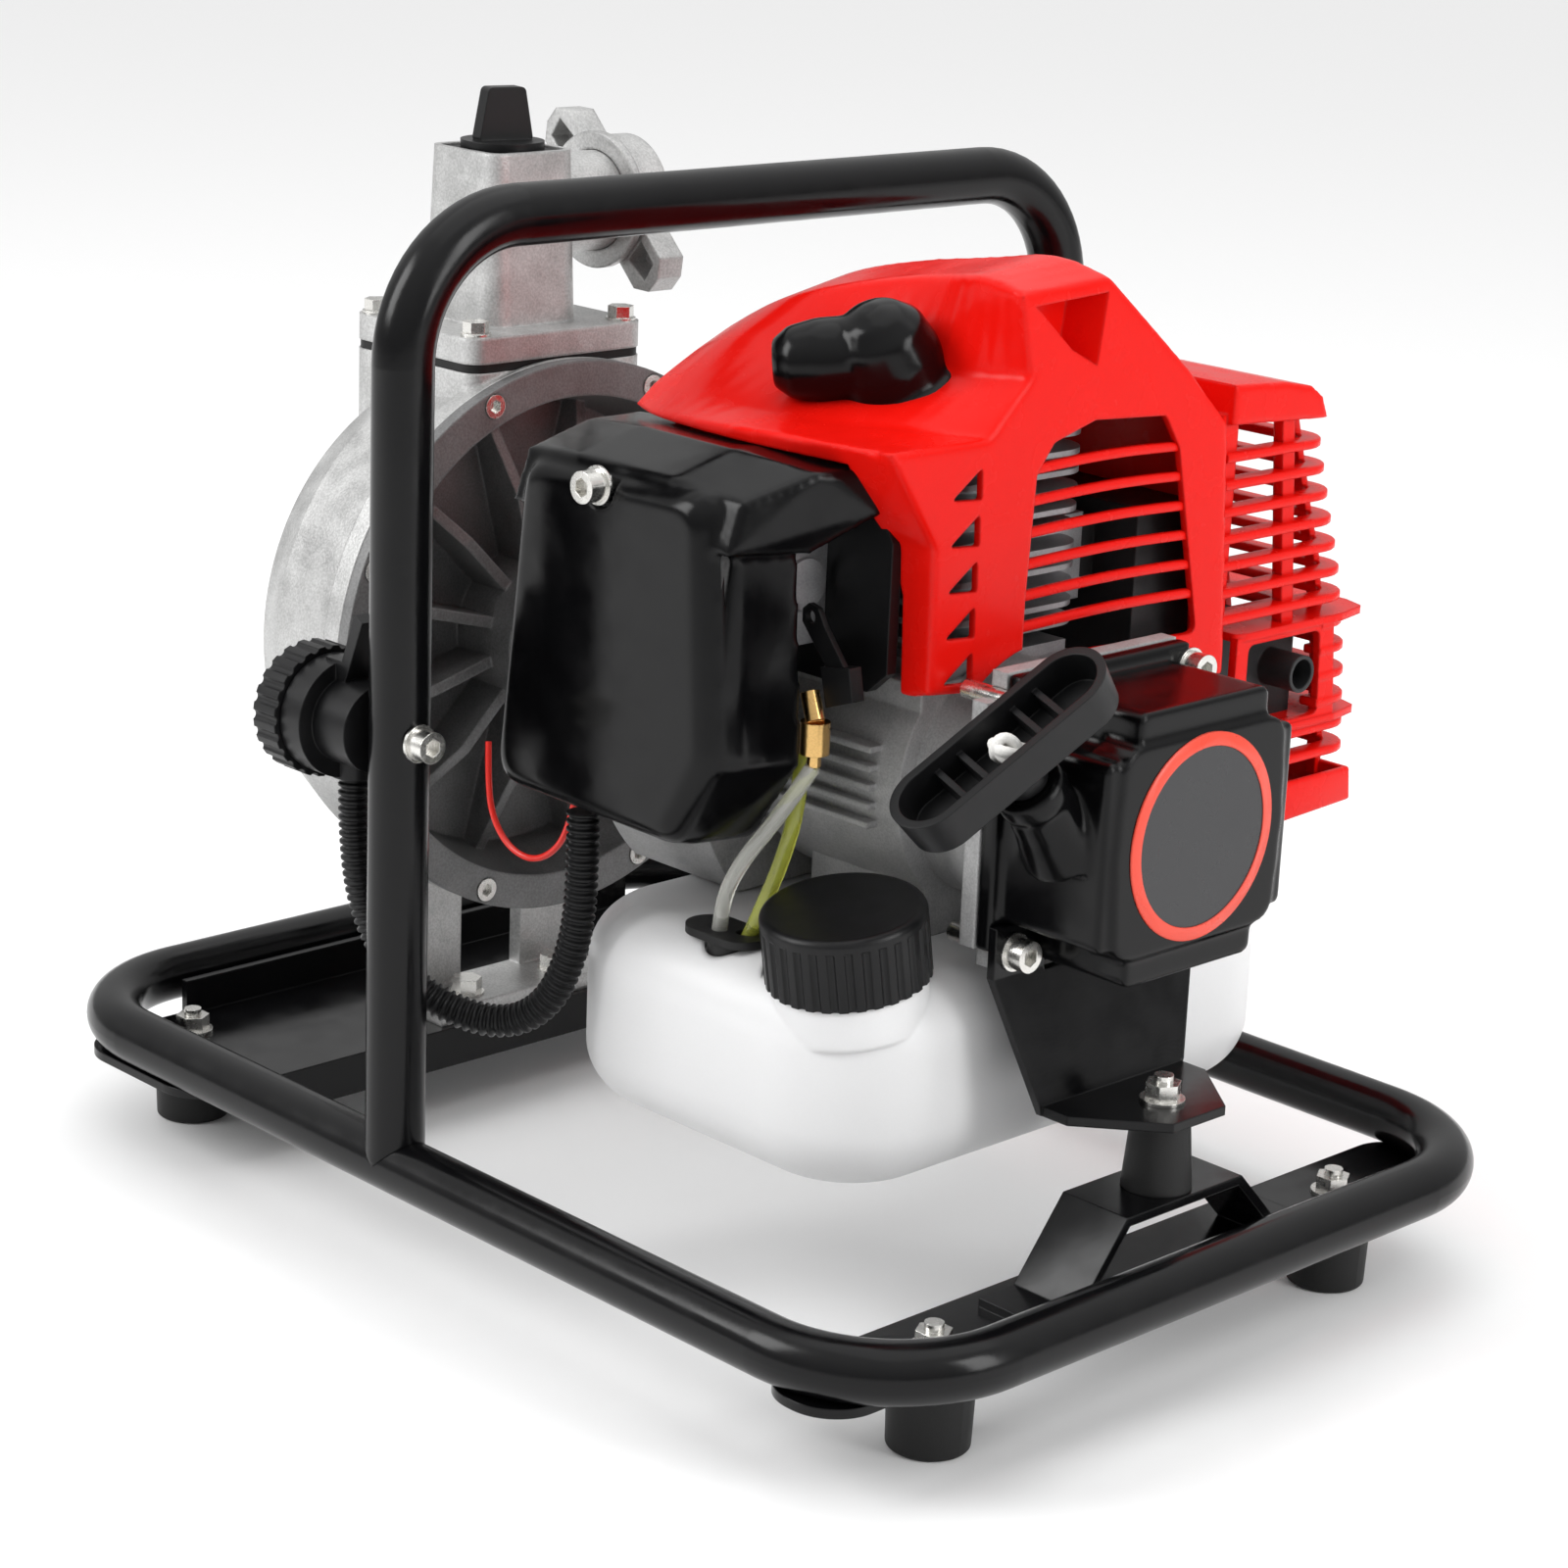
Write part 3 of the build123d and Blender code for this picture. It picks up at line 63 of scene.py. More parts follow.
# ---- Materials ----
def surface(name, colour, rough, metal=0.0, grain=0.0, grain_size=0.6, mottle=0.06, mottle_size=12.0,
            rough_spread=0.06, edge=0.8, orange_peel=0.0, scatter=0.0, clear=0.0, shine=0.5):
    """Moulded, cast, plated or painted finish: uneven tone and gloss, surface grain, and softened edges."""
    material = bpy.data.materials.new(name)
    material.use_nodes = True
    nodes, links = material.node_tree.nodes, material.node_tree.links
    shader = nodes["Principled BSDF"]
    shader.inputs["Metallic"].default_value = metal
    shader.inputs["Subsurface Weight"].default_value = scatter
    shader.inputs["Subsurface Scale"].default_value = 0.012
    shader.inputs["Subsurface Radius"].default_value = (1.0, 1.0, 1.0)
    shader.inputs["Specular IOR Level"].default_value = shine
    shader.inputs["Transmission Weight"].default_value = clear
    place = nodes.new("ShaderNodeTexCoord").outputs["Object"]

    def noise(size_mm, detail=3.0):
        node = nodes.new("ShaderNodeTexNoise")
        node.inputs["Scale"].default_value = 1000.0 / size_mm
        node.inputs["Detail"].default_value = detail
        links.new(place, node.inputs["Vector"])
        return node.outputs["Fac"]

    def spread(value, low, high):
        node = nodes.new("ShaderNodeMapRange")
        node.inputs["From Min"].default_value = 0.3
        node.inputs["From Max"].default_value = 0.7
        node.inputs["To Min"].default_value = low
        node.inputs["To Max"].default_value = high
        links.new(value, node.inputs["Value"])
        return node.outputs["Result"]

    broad = noise(mottle_size)
    tone = nodes.new("ShaderNodeMix")
    tone.data_type = "RGBA"
    tone.inputs["A"].default_value = [c * (1 - mottle) for c in colour] + [1]
    tone.inputs["B"].default_value = [min(1, c * (1 + mottle)) for c in colour] + [1]
    blend = nodes.new("ShaderNodeMath")
    blend.operation = "ADD"
    blend.use_clamp = True
    links.new(spread(broad, 0, 0.5), blend.inputs[0])
    links.new(spread(noise(grain_size, 1.0), 0, 0.5), blend.inputs[1])
    links.new(blend.outputs[0], tone.inputs["Factor"])
    links.new(tone.outputs["Result"], shader.inputs["Base Color"])
    links.new(spread(broad, rough - rough_spread, rough + rough_spread), shader.inputs["Roughness"])
    bevel = nodes.new("ShaderNodeBevel")
    bevel.samples = 4
    bevel.inputs["Radius"].default_value = edge * MM
    normal = bevel.outputs["Normal"]
    for strength, size, depth in ((grain, grain_size, 0.12), (orange_peel, 3.0, 0.05)):
        if strength:
            bump = nodes.new("ShaderNodeBump")
            bump.inputs["Strength"].default_value = strength
            bump.inputs["Distance"].default_value = depth * MM
            links.new(noise(size, 2.0), bump.inputs["Height"])
            links.new(normal, bump.inputs["Normal"])
            normal = bump.outputs["Normal"]
    links.new(normal, shader.inputs["Normal"])
    return material


LOOKS = {
    "black_steel": surface("powder_coat", (0.0026, 0.0026, 0.003), 0.2, grain=0.1, orange_peel=0.25,
                           shine=0.24),
    "pump_aluminium": surface("cast_silver", (0.50, 0.50, 0.495), 0.46, metal=0.75, grain=0.9, grain_size=0.8,
                              mottle=0.28, edge=1.5),
    "engine_casting": surface("cast_grey", (0.40, 0.40, 0.40), 0.5, metal=0.3, grain=0.9, grain_size=0.7,
                              mottle=0.25, edge=1.3),
    "dark_casting": surface("cast_dark", (0.20, 0.20, 0.20), 0.5, metal=0.65, grain=0.9, grain_size=0.8,
                            mottle=0.28, edge=1.5),
    "fin_aluminium": surface("raw_aluminium", (0.36, 0.36, 0.37), 0.45, metal=0.85, grain=0.6, mottle=0.2,
                             edge=0.4),
    "red_plastic": surface("red_moulding", (0.74, 0.006, 0.003), 0.25, grain=0.04, orange_peel=0.12,
                           mottle=0.03, edge=1.4, shine=0.14),
    "black_gloss": surface("black_moulding", (0.0022, 0.0022, 0.0025), 0.17, grain=0.05, orange_peel=0.12,
                           edge=1.5, shine=0.2),
    "black_matte": surface("black_satin", (0.0055, 0.0055, 0.006), 0.36, grain=0.35, grain_size=0.35,
                           mottle=0.15, edge=0.7, shine=0.26),
    "tank_plastic": surface("milky_tank", (0.80, 0.80, 0.805), 0.34, grain=0.08, orange_peel=0.2,
                            mottle=0.012, mottle_size=40.0, scatter=0.2, edge=2.5),
    "zinc": surface("zinc_plate", (0.70, 0.69, 0.66), 0.26, metal=1.0, grain=0.12, mottle=0.1,
                    mottle_size=3.0, edge=0.35),
    "steel": surface("machined_steel", (0.42, 0.42, 0.43), 0.3, metal=1.0, grain=0.15, mottle=0.1, edge=0.4),
    "black_rubber": surface("moulded_rubber", (0.009, 0.009, 0.009), 0.5, grain=0.4, grain_size=0.4,
                            mottle=0.2, shine=0.3),
    "brass": surface("brass_fitting", (0.66, 0.42, 0.16), 0.28, metal=1.0, grain=0.1, mottle=0.12, edge=0.3),
    "clear_hose": surface("clear_hose", (0.90, 0.90, 0.84), 0.14, clear=0.75, mottle=0.03, mottle_size=8.0),
    "rope": surface("white_cord", (0.82, 0.81, 0.78), 0.8, grain=1.0, grain_size=0.5, mottle=0.12,
                    mottle_size=1.5),
    "foam": surface("open_foam", (0.05, 0.05, 0.05), 0.95, grain=1.0, grain_size=1.2, mottle=0.5),
    "exhaust_steel": surface("stove_black", (0.02, 0.02, 0.021), 0.5, metal=0.3, grain=0.4, mottle=0.25,
                             edge=1.2),
    "red_wire": surface("red_insulation", (0.75, 0.02, 0.012), 0.3, mottle=0.05, edge=0.2),
}
YELLOW_HOSE = surface("fuel_tinted_hose", (0.72, 0.76, 0.12), 0.14, clear=0.7, mottle=0.06, mottle_size=8.0)
RING_RED = surface("printed_ring", (0.75, 0.06, 0.03), 0.32, mottle=0.03)
LABEL_DARK = surface("printed_disc", (0.018, 0.018, 0.02), 0.3, grain=0.1, mottle=0.1)

for entry in frame["record"]["subparts"]:
    mesh = frame["nodes"][entry["node"]].data
    mesh.materials.clear()
    mesh.materials.append(LOOKS[entry["material_slot"]])


# ---- Mesh helpers ----
def piece(name, mesh, slot, body="chassis", replaces=(), look=None, smooth_angle=40):
    """Adds a mesh given in row-frame metres as one piece of the object."""
    made = bpy.data.objects.new(name, mesh)
    bpy.context.scene.collection.objects.link(made)
    mesh.materials.clear()
    mesh.materials.append(look or LOOKS[slot])
    if mesh.polygons:
        mesh.shade_smooth()
        mesh.set_sharp_from_angle(angle=math.radians(smooth_angle))
    if body:
        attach(made, body)
    if replaces:
        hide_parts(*replaces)
    return made


def mesh_of(vertices, faces, scale=MM):
    """Mesh with its faces turned outward."""
    mesh = bpy.data.meshes.new("mesh")
    mesh.from_pydata([Vector(v) * scale for v in vertices], [], faces)
    build = bmesh.new()
    build.from_mesh(mesh)
    bmesh.ops.recalc_face_normals(build, faces=build.faces)
    build.to_mesh(mesh)
    build.free()
    return mesh


def loft(rings):
    """Skin through rings of points, all with the same count, each ring closed."""
    count = len(rings[0])
    vertices = [point for ring in rings for point in ring]
    faces = []
    for r in range(len(rings) - 1):
        for i in range(count):
            j = (i + 1) % count
            faces.append((r * count + i, r * count + j, (r + 1) * count + j, (r + 1) * count + i))
    faces.append(tuple(range(count)))
    faces.append(tuple((len(rings) - 1) * count + i for i in range(count)))
    return mesh_of(vertices, faces)


def at(axis, level, u, v):
    """A point on a plane across one axis, its other two coordinates in order."""
    return {"x": (level, u, v), "y": (u, level, v), "z": (u, v, level)}[axis]


def prism(axis, outline, low, high):
    """Outline pushed along an axis from one level to another."""
    return loft([[at(axis, level, u, v) for u, v in outline] for level in (low, high)])


def rounded(outline, radius, steps=5):
    """Outline with each corner turned into an arc."""
    points = []
    count = len(outline)
    for i, corner in enumerate(outline):
        here = Vector(corner)
        before = Vector(outline[i - 1]) - here
        after = Vector(outline[(i + 1) % count]) - here
        half = before.angle(after) / 2
        cut = min(radius / math.tan(half), 0.48 * before.length, 0.48 * after.length)
        start = here + before.normalized() * cut
        end = here + after.normalized() * cut
        for k in range(steps + 1):
            t = k / steps
            points.append((1 - t) ** 2 * start + 2 * t * (1 - t) * here + t ** 2 * end)
    return [tuple(p) for p in points]


def merged(*meshes):
    """All the meshes in one."""
    build = bmesh.new()
    for mesh in meshes:
        build.from_mesh(mesh)
    result = bpy.data.meshes.new("mesh")
    build.to_mesh(result)
    build.free()
    return result


def modified(mesh, *settings):
    """The mesh after modifiers, each given as (type, {setting: value})."""
    holder = bpy.data.objects.new("holder", mesh)
    bpy.context.scene.collection.objects.link(holder)
    for kind, values in settings:
        modifier = holder.modifiers.new(kind, kind)
        for key, value in values.items():
            setattr(modifier, key, value)
    bpy.context.view_layer.update()
    result = bpy.data.meshes.new_from_object(holder.evaluated_get(bpy.context.evaluated_depsgraph_get()))
    bpy.data.objects.remove(holder)
    return result


def cut(mesh, *cutters):
    """The mesh less each cutter in turn."""
    for cutter in cutters:
        holder = bpy.data.objects.new("cutter", cutter)
        bpy.context.scene.collection.objects.link(holder)
        mesh = modified(mesh, ("BOOLEAN", {"object": holder, "operation": "DIFFERENCE", "solver": "EXACT"}))
        bpy.data.objects.remove(holder)
    return mesh


def softened(mesh, voxel=1.2, repeats=8):
    """Melts the joins and edges of overlapping solids into one moulded skin."""
    return modified(
        mesh,
        ("REMESH", {"mode": "VOXEL", "voxel_size": voxel * MM}),
        ("SMOOTH", {"factor": 0.5, "iterations": repeats}),
    )


def drum(start, end, radii, sides=40):
    """Turned shape along a line: radii are (share of the length, radius)."""
    start, end = Vector(start), Vector(end)
    side = (end - start).orthogonal().normalized()
    up = (end - start).cross(side).normalized()
    rings = []
    for share, radius in radii:
        centre = start.lerp(end, share)
        rings.append([centre + radius * (side * math.cos(a) + up * math.sin(a))
                      for a in (2 * math.pi * i / sides for i in range(sides))])
    return loft(rings)


# ---- Cords ----
def cord_curve(name, route, radius, slot, look=None, replaces=()):
    """Round cord along a smooth line through the route."""
    curve = bpy.data.curves.new(name, "CURVE")
    curve.dimensions = "3D"
    curve.bevel_depth = radius * MM
    curve.bevel_resolution = 4
    curve.resolution_u = 16
    spline = curve.splines.new("NURBS")
    spline.points.add(len(route) - 1)
    for point, (x, y, z) in zip(spline.points, route):
        point.co = (x * MM, y * MM, z * MM, 1)
    spline.order_u = 3
    spline.use_endpoint_u = True
    made = bpy.data.objects.new(name, curve)
    bpy.context.scene.collection.objects.link(made)
    curve.materials.append(look or LOOKS[slot])
    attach(made, "chassis")
    if replaces:
        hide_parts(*replaces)
    return made


def centreline(route):
    """Points read from the smooth line through a route."""
    line = cord_curve("line", route, 0, "black_matte")
    mesh = bpy.data.meshes.new_from_object(line)
    points = [v.co.copy() for v in mesh.vertices]
    bpy.data.objects.remove(line)
    return points


def even_points(points, step):
    """Points a fixed step apart along a line."""
    spaced = [points[0]]
    for point in points[1:]:
        while (point - spaced[-1]).length >= step:
            spaced.append(spaced[-1] + (point - spaced[-1]).normalized() * step)
    return spaced


def skin_along(points, radii, sides=24):
    """Tube whose radius changes from point to point."""
    rings = []
    side = (points[1] - points[0]).orthogonal().normalized()
    for i, point in enumerate(points):
        along = (points[min(i + 1, len(points) - 1)] - points[max(i - 1, 0)]).normalized()
        side = (side - along * side.dot(along)).normalized()
        up = along.cross(side)
        rings.append([(point + radii[i] * MM * (side * math.cos(a) + up * math.sin(a))) / MM
                      for a in (2 * math.pi * k / sides for k in range(sides))])
    return loft(rings)


CONDUIT_ROUTE = [
    (-42, -140, 161), (-41, -141, 142), (-39, -138, 116), (-31, -130, 95),
    (-16, -120, 85), (0, -110, 83), (12, -103, 93), (18, -99, 113),
    (19.5, -98, 135), (19, -98, 157),
]
WIRE_ROUTE = [
    (-76, -58, 150), (-73.5, -60, 138), (-70, -61, 126), (-61, -61, 117),
    (-49, -60, 115), (-38, -59, 122), (-33, -58, 133), (-31, -57, 145),
]
CLEAR_LINE = [
    (62, -79, 121), (65, -81.5, 136), (74, -81.5, 152), (85, -77, 168), (92.5, -71.5, 184),
]
RETURN_LINE = [
    (70, -76, 121), (76, -73.5, 137), (82, -72, 153), (85, -69.5, 170), (82, -66, 186),
]


def length_of(points):
    """Length of a line through points."""
    return sum((b - a).length for a, b in zip(points, points[1:]))


path = even_points(centreline(CONDUIT_ROUTE), 0.65 * MM)
ribs = [5.3 if i % 4 < 2 else 4.4 for i in range(len(path))]
conduit = piece("throttle_conduit_ribbed", skin_along(path, ribs), "black_matte",
                replaces=("throttle_conduit",))
for name, route, radius, slot, look, node in (
    ("stop_wire_loop", WIRE_ROUTE, 1.1, "red_wire", None, "stop_wire"),
    ("fuel_line_clear", CLEAR_LINE, 2.5, "clear_hose", None, "fuel_lines"),
    ("fuel_line_return", RETURN_LINE, 2.5, "clear_hose", YELLOW_HOSE, "fuel_lines"),
):
    wire = cord_curve(name, route, radius, slot, look, (node,))
    length_of(centreline(route))


# ---- Engine shroud ----
SHROUD_STATIONS = [
    (-8, [(-58, 262), (-61, 266), (-60, 274), (-50, 282), (-34, 290),
          (-18, 297), (12, 303), (50, 296), (78, 272), (84, 215)]),
    (14, [(-62, 262), (-66, 268), (-67, 277), (-54, 285), (-34, 299),
          (-16, 309), (14, 315), (54, 303), (82, 275), (87, 205)]),
    (40, [(-64, 262), (-69, 268), (-70, 279), (-54, 283), (-24, 298),
          (-8, 317), (18, 322), (57, 302), (83, 276), (88, 198)]),
    (70, [(-60, 250), (-66, 266), (-71, 281), (-52, 283), (-19, 297),
          (-5, 323), (20, 327), (59, 299), (82, 276), (88, 195)]),
    (96, [(-49, 208), (-52, 252), (-71, 282), (-40, 283), (-16, 297),
          (-14, 327), (20, 331), (60, 297), (81, 276), (88, 194)]),
    (118, [(-50, 208), (-50, 252), (-71, 283), (-30, 283), (-13, 300),
           (-19, 325), (20, 327), (60, 295.5), (81, 276), (88, 193)]),
]


def eased(stations, parts):
    """Extra stations on a smooth line through the given ones."""
    result = []
    for i in range(len(stations) - 1):
        last = len(stations) - 1
        four = [stations[max(i - 1, 0)], stations[i], stations[i + 1], stations[min(i + 2, last)]]
        for k in range(parts):
            t = k / parts
            weights = (
                (-t + 2 * t ** 2 - t ** 3) / 2, (2 - 5 * t ** 2 + 3 * t ** 3) / 2,
                (t + 4 * t ** 2 - 3 * t ** 3) / 2, (-t ** 2 + t ** 3) / 2,
            )
            level = sum(w * s[0] for w, s in zip(weights, four))
            ring = [tuple(sum(w * s[1][p][c] for w, s in zip(weights, four)) for c in (0, 1))
                    for p in range(len(stations[0][1]))]
            result.append((level, ring))
    return result + [stations[-1]]


def bar(points, width, height, corner=1.0):
    """Moulded bar along a path in a level plane: width is across the path, height is up."""
    w, h = width / 2, height / 2
    section = rounded([(-w, -h), (w, -h), (w, h), (-w, h)], corner, 3)
    rings = []
    for i, point in enumerate(points):
        along = (points[min(i + 1, len(points) - 1)] - points[max(i - 1, 0)]).normalized()
        out = Vector((along.y, -along.x, 0))
        rings.append([point + out * u + Vector((0, 0, v)) for u, v in section])
    return loft(rings)


VENTS, VENT_PITCH = 5, 14
GRILLE_BARS, GRILLE_PITCH = 6, 9.7
FINS, FIN_PITCH = 13, 8.9


def inset(ring, depth):
    """Moves the sides of a clockwise outline straight inward."""
    corners = [Vector(p) for p in ring]
    moved = []
    for i, corner in enumerate(corners):
        before = (corner - corners[i - 1]).normalized()
        after = (corners[(i + 1) % len(corners)] - corner).normalized()
        first, second = Vector((before.y, -before.x)), Vector((after.y, -after.x))
        moved.append(corner + (first + second) * depth / max(0.5, 1 + first.dot(second)))
    return [tuple(p) for p in moved]


def shroud_pocket(grow):
    """Facetted triangular recess in the top of the front panel."""
    mouth = [(-15, 321.5), (20.5, 323.5), (17, 299), (4, 305.5)]
    floor = [(-7, 319), (15, 320.5), (13, 306), (6, 309)]
    return loft([
        [(105 - grow, y, z) for y, z in inset(floor, -grow)],
        [(122, y, z) for y, z in inset(mouth, -grow)],
    ])


def make_shroud():
    """Hollow red cowl over the engine, with its grille, vents and pocket."""
    stations = eased(SHROUD_STATIONS, 4)
    body = softened(loft([[(x, y, z) for y, z in ring] for x, ring in stations]), 1.1, 14)
    rings = []
    for x, ring in stations:
        hollow = inset(ring, 2.6)
        hollow[0] = (hollow[0][0], ring[0][1] - 40)
        hollow[-1] = (hollow[-1][0], ring[-1][1] - 40)
        rings.append([(min(max(x, -5.4), 115.6), y, z) for y, z in hollow])
    inside = cut(loft(rings), shroud_pocket(2.4))
    window = rounded([(-10, 213), (-10, 232), (-8, 270), (-1, 279),
                      (17, 284), (50, 282), (57.5, 271), (72, 209.5)], 3)
    cutters = [shroud_pocket(0), prism("x", window, 108, 130)]
    for i in range(VENTS):
        drop = VENT_PITCH * i
        triangle = rounded([(-32, 275 - drop), (-31.5, 265 - drop), (-45, 266 - drop)], 1.0, 3)
        cutters.append(prism("x", triangle, 108, 130))
    cutters.append(prism("x", [(-90, 150), (-40, 150), (-40, 276.2), (-90, 276.2)], -30, 97))
    cutters.append(prism("y", [(97, 150), (105, 150), (105, 236), (97, 262), (80, 262), (80, 150)], -90, -40))
    cutters.append(drum((90, 0, 171.5), (130, 0, 171.5), ((0, 46), (1, 46)), 64))
    cutters.append(drum((-20, 0, 171.5), (38, 0, 171.5), ((0, 67), (1, 67)), 64))
    body = cut(body, inside, *cutters)
    bars = []
    for i in range(GRILLE_BARS):
        z = 222.5 + GRILLE_PITCH * i
        left, right = -9.5 + 0.12 * max(0, z - 262), 73 - (z - 209) * 0.25
        points = [Vector((115.6 + 1.2 * math.sin(math.pi * t), left - 1.5 + (right - left + 3) * t,
                          z + 1.4 * math.sin(math.pi * t))) for t in (k / 10 for k in range(11))]
        bars.append(bar(points, 3.2, 3.0))
    piece("engine_shroud_shell", body, "red_plastic", replaces=("engine_shroud",))
    piece("engine_shroud_bars", merged(*bars), "red_plastic")


GUARD_PROFILE = [(284, 127), (271, 135), (239, 145.5), (222, 152), (190, 159), (157, 162), (130, 162)]


def guard_side(z):
    """How far out in Y the guard's right side stands at a height."""
    for (high, near), (low, far) in zip(GUARD_PROFILE, GUARD_PROFILE[1:]):
        if z >= low:
            return near + (far - near) * (high - z) / (high - low)
    return GUARD_PROFILE[-1][1]


def make_guard():
    """Slotted cage around the muffler, closed at its top and foot."""
    parts = []
    top = [(84, 275), (84, 288), (110, 286.5), (123, 284), (129, 280), (132.5, 272.5)]
    parts.append(softened(prism("x", top, 20, 117.6), 1.0, 5))
    for i in range(FINS):
        z = 264.5 - FIN_PITCH * i
        side = guard_side(z)
        front = 138 if 168 < z < 203 else 82
        corner = [Vector((114.2 - 9 * (1 - math.cos(a)), side - 12.6 + 9 * math.sin(a), z))
                  for a in (math.radians(15 * k) for k in range(7))]
        parts.append(bar([Vector((114.2, front, z))] + corner + [Vector((20, side - 3.6, z))], 7.2, 3.0))
    levels = (280, 271, 239, 222, 190, 157, 145)
    for x in (24, 64, 104):
        ring = [(guard_side(z) - 6.5, z) for z in levels]
        ring += [(guard_side(z) - 3.5, z) for z in reversed(levels)]
        parts.append(prism("x", ring, x - 2, x + 2))
    parts.append(prism("x", [(82, 278), (90, 278), (90, 204), (82, 204)], 110.5, 114.5))
    parts.append(prism("x", [(112, 278), (118, 278), (126, 204), (120, 204)], 110.5, 114.5))
    for z in (169.5, 204):
        plate = [(90, 94), (116, 94), (118, 98), (118, 148), (115, 162),
                 (106, 165.2), (40, 165.2), (40, 150), (90, 146)]
        parts.append(prism("z", rounded(plate, 2, 3), z - 1.3, z + 1.3))
    frame_outline = [(94, 169), (94, 204), (144, 204), (148, 169)]
    opening = rounded([(100, 172), (100, 201), (137, 201), (139, 172)], 3)
    parts.append(cut(prism("x", frame_outline, 114.6, 117.6), prism("x", opening, 110, 125)))
    low = [(89, 134.5), (89, 150), (160, 150), (161.5, 138)]
    room = [(80, 137), (80, 160), (157, 160), (158.5, 140)]
    wall = cut(prism("x", low, 18, 117.6), prism("x", room, 16, 115.2))
    parts.append(modified(wall, ("BEVEL", {"width": 1.2 * MM, "segments": 3})))
    piece("muffler_guard_cage", merged(*parts), "red_plastic", replaces=("muffler_guard",))


# ---- Filter cover, plug boot, tank ----
def make_filter_cover():
    """Black intake box with a hood that runs back over the engine."""
    front = rounded([(-12, 161), (0, 266), (80, 268), (86, 188), (70, 160)], 9, 4)
    back = rounded([(-15, 159), (-3, 269), (86, 271), (93, 186), (73, 157)], 9, 4)
    rings = []
    crown = ((-77, 1.0, 0), (-98, 0.6, 0), (-105, 0.35, 0.6), (-108.6, 0.15, 2.2), (-110.4, 0.0, 4.6))
    for y, t, shrink in crown:
        shape = [((1 - t) * a[0] + t * b[0], (1 - t) * a[1] + t * b[1]) for a, b in zip(front, back)]
        rings.append([(x + (38 - x) * shrink / 50, y, z + (214 - z) * shrink / 54) for x, z in shape])
    body = loft(rings)
    hood_rings = [
        [(-13, -78, 250), (-14, -56, 263), (-10, -54, 273),
         (-4, -80, 274.5), (-4, -104, 268), (-6, -108, 252)],
        [(20, -78, 250), (20, -50, 263), (20, -48, 274),
         (20, -80, 276), (20, -105, 270), (20, -109, 252)],
        [(60, -78, 250), (62, -49, 262), (62, -50, 276),
         (62, -80, 276), (62, -104, 270), (62, -109, 252)],
        [(94, -78, 250), (102, -56, 261), (100, -57, 275),
         (96, -78, 274.5), (89, -101, 267), (89, -106, 252)],
    ]
    skin = softened(merged(body, loft(hood_rings)), 1.0, 10)
    behind = prism("y", [(-20, 150), (-20, 256), (86, 256), (86, 186), (68, 160)], -79, -40)
    inner = prism("y", [(-6, 168), (8, 262), (84, 262), (86, 190), (66, 165)], -103, -70)
    skin = cut(skin, behind, inner, drum((36, -120, 264), (36, -107, 264), ((0, 8), (1, 7))))
    piece("air_filter_cover_moulded", skin, "black_gloss", replaces=("air_filter_cover",), smooth_angle=55)


def make_boot():
    """Rubber cap of the spark plug, with its cable nose."""
    axis = Vector((0.04, -0.50, 0.86)).normalized()
    seat = Vector((70, -10, 270)) + axis * 14
    base = seat + axis * 7
    collar = drum(base, base + axis * 7, ((0, 22), (0.6, 22), (1, 20)))
    dome = drum(base, seat + axis * 39, ((0, 17.5), (0.45, 17), (0.75, 14.5), (0.93, 9), (1, 3)))
    nose_start = base + axis * 14
    nose_end = base + axis * 10 + Vector((-24, -26, 0))
    nose = drum(nose_start, nose_end, ((0, 13.5), (0.6, 13), (0.85, 11), (1, 7)))
    piece("spark_plug_boot_moulded", softened(merged(collar, dome, nose), 0.9, 10), "black_gloss",
          replaces=("spark_plug_boot",), smooth_angle=80)


ROPE_GUIDE = Vector((165, -43, 177))
ROPE_PULL = Vector((0, -0.643, 0.766))
SHAFT_Z = 171.5


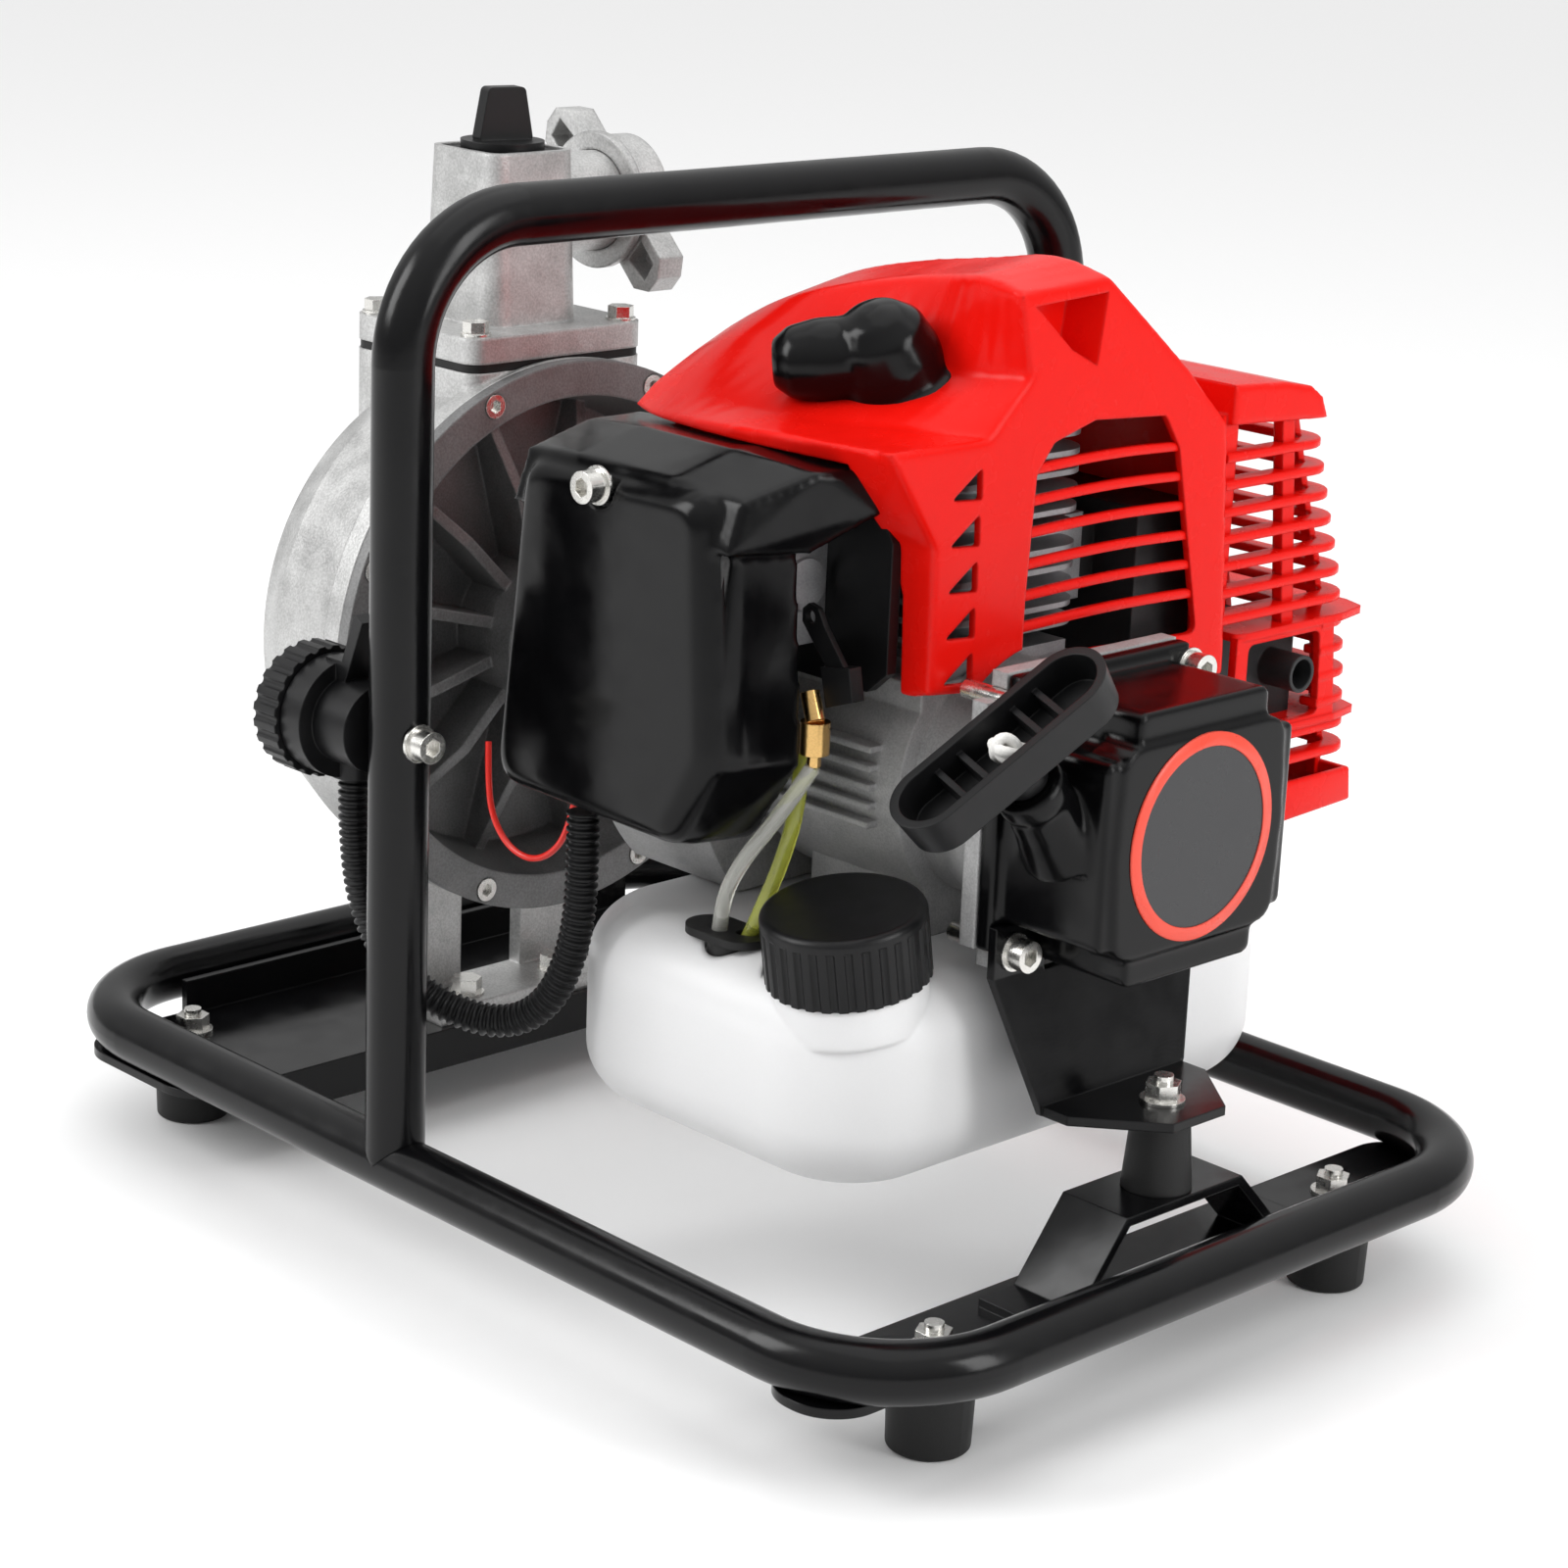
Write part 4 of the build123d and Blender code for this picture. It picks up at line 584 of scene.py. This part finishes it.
def make_recoil():
    """Starter cover with notched corners, the rope guide and a plain disc in a ring."""
    def notched(half, bite):
        inner = half - bite
        corners = []
        for sy, sz in ((1, 1), (-1, 1), (-1, -1), (1, -1)):
            corner = [(half * sy, inner * sz), (inner * sy, inner * sz), (inner * sy, half * sz)]
            corners += corner if sy == sz else corner[::-1]
        return [(y, SHAFT_Z + z) for y, z in corners]

    guide, pull = ROPE_GUIDE, ROPE_PULL
    body = prism("x", rounded(notched(42, 13), 3), 136, 183)
    face = [(-36, 139), (36, 139), (38, 171), (36, 204), (-36, 204), (-38, 171)]
    plateau = prism("x", rounded(face, 8), 170, 184.5)
    flange = prism("x", notched(46, 8), 138, 144)
    boss = drum(guide - pull * 8, guide + pull * 19, ((0, 14), (0.5, 11), (1, 9.5)))
    rim = drum(guide + pull * 15, guide + pull * 22, ((0, 11), (1, 11)))
    skin = softened(merged(body, plateau, flange, boss, rim), 0.9, 12)
    cutters = [
        prism("x", notched(38, 13), 130, 176),
        drum(guide - pull * 20, guide + pull * 24, ((0, 3.4), (1, 3.4))),
    ]
    for y in (-38, 38):
        for z in (SHAFT_Z - 38, SHAFT_Z + 38):
            for start, end, radius in ((130, 150, 3.2), (144, 190, 8.6)):
                cutters.append(drum((start, y, z), (end, y, z), ((0, radius), (1, radius))))
    piece("recoil_cover_moulded", cut(skin, *cutters), "black_gloss", replaces=("recoil_cover",),
          smooth_angle=50)
    disc = drum((183.6, 0, 172), (184.9, 0, 172), ((0, 28.2), (1, 28.0)), 72)
    piece("label_disc", disc, "black_matte", look=LABEL_DARK)
    ring = cut(drum((183.6, 0, 172), (185.2, 0, 172), ((0, 32), (0.8, 32), (1, 31.6)), 72),
               drum((180, 0, 172), (190, 0, 172), ((0, 27.8), (1, 27.8)), 72))
    piece("label_ring", ring, "red_plastic", look=RING_RED)


def make_rope():
    """White cord with a slack braid: out of the guide, up through the grip, and a knot in its trough."""
    guide, pull = ROPE_GUIDE, ROPE_PULL
    points = [(guide + pull * d) * MM for d in (6, 12, 18, 24, 30, 35)]
    spaced = even_points(points, 0.5 * MM)
    braid = [1.9 + 0.18 * math.sin(2.2 * i) for i in range(len(spaced))]
    rope = piece("starter_rope_run", skin_along(spaced, braid, 12), "rope", body=None)
    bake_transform(rope)
    knot_centre = guide + pull * 37
    loops = []
    for k in range(3):
        tilt = Matrix.Rotation(1.1 * k + 0.4, 3, Vector((0.3, 0.8, 0.5))) @ Matrix.Rotation(0.9 * k, 3, "X")
        ring = []
        for i in range(25):
            a = 2 * math.pi * i / 24
            turn = Vector((4.2 * math.cos(a), 3.2 * math.sin(a), 0.8 * math.sin(2 * a)))
            ring.append((knot_centre + tilt @ turn) * MM)
        loops.append(skin_along(ring, [1.7] * 25, 10))
    tail = [(knot_centre + Vector((1.0 * i, 1.6 * i, 0.4 * i * math.sin(i)))) * MM for i in range(7)]
    loops.append(skin_along(tail, [1.7, 1.8, 1.7, 1.8, 1.9, 2.1, 2.4], 10))
    piece("starter_rope_knot", merged(*loops), "rope", body="starter_grip")


make_shroud()
make_guard()
make_recoil()
make_rope()
make_filter_cover()
make_boot()

# ---- Floor and light ----
floor_mesh = mesh_of([(-6, -6, 0), (6, -6, 0), (6, 6, 0), (-6, 6, 0)], [(0, 1, 2, 3)], 1.0)
floor = bpy.data.objects.new("floor", floor_mesh)
floor.location.z = -0.0002
bpy.context.scene.collection.objects.link(floor)
floor_mesh.materials.append(surface("floor_white", (0.93, 0.93, 0.93), 0.7, mottle=0.004, edge=0.0))

bpy.context.scene.view_settings.view_transform = "Standard"
world = bpy.data.worlds.new("studio")
bpy.context.scene.world = world
world.use_nodes = True
sky = world.node_tree.nodes
background = sky["Background"]
direction = sky.new("ShaderNodeTexCoord")
split = sky.new("ShaderNodeSeparateXYZ")
height = sky.new("ShaderNodeMapRange")
height.inputs["From Min"].default_value = 0.0
height.inputs["From Max"].default_value = 0.9
height.inputs["To Min"].default_value = 0.4
height.inputs["To Max"].default_value = 1.1
background.inputs["Color"].default_value = (1, 1, 1, 1)
world.node_tree.links.new(direction.outputs["Generated"], split.inputs["Vector"])
world.node_tree.links.new(split.outputs["Z"], height.inputs["Value"])
world.node_tree.links.new(height.outputs["Result"], background.inputs["Strength"])


def softbox(name, place, aim, width, height, power):
    light = bpy.data.objects.new(name, bpy.data.lights.new(name, "AREA"))
    light.data.shape = "RECTANGLE"
    light.data.size = width
    light.data.size_y = height
    light.data.energy = power
    light.location = place
    light.rotation_mode = "QUATERNION"
    light.rotation_quaternion = (Vector(aim) - Vector(place)).to_track_quat("-Z", "Y")
    bpy.context.scene.collection.objects.link(light)


softbox("key", (-0.9, -1.5, 1.3), (0, 0, 0.15), 0.9, 1.1, 22)
softbox("side", (1.7, 0.4, 0.9), (0, 0, 0.15), 0.6, 1.2, 14)
softbox("top", (0.0, 0.3, 2.6), (0, 0, 0.1), 2.6, 2.6, 12)
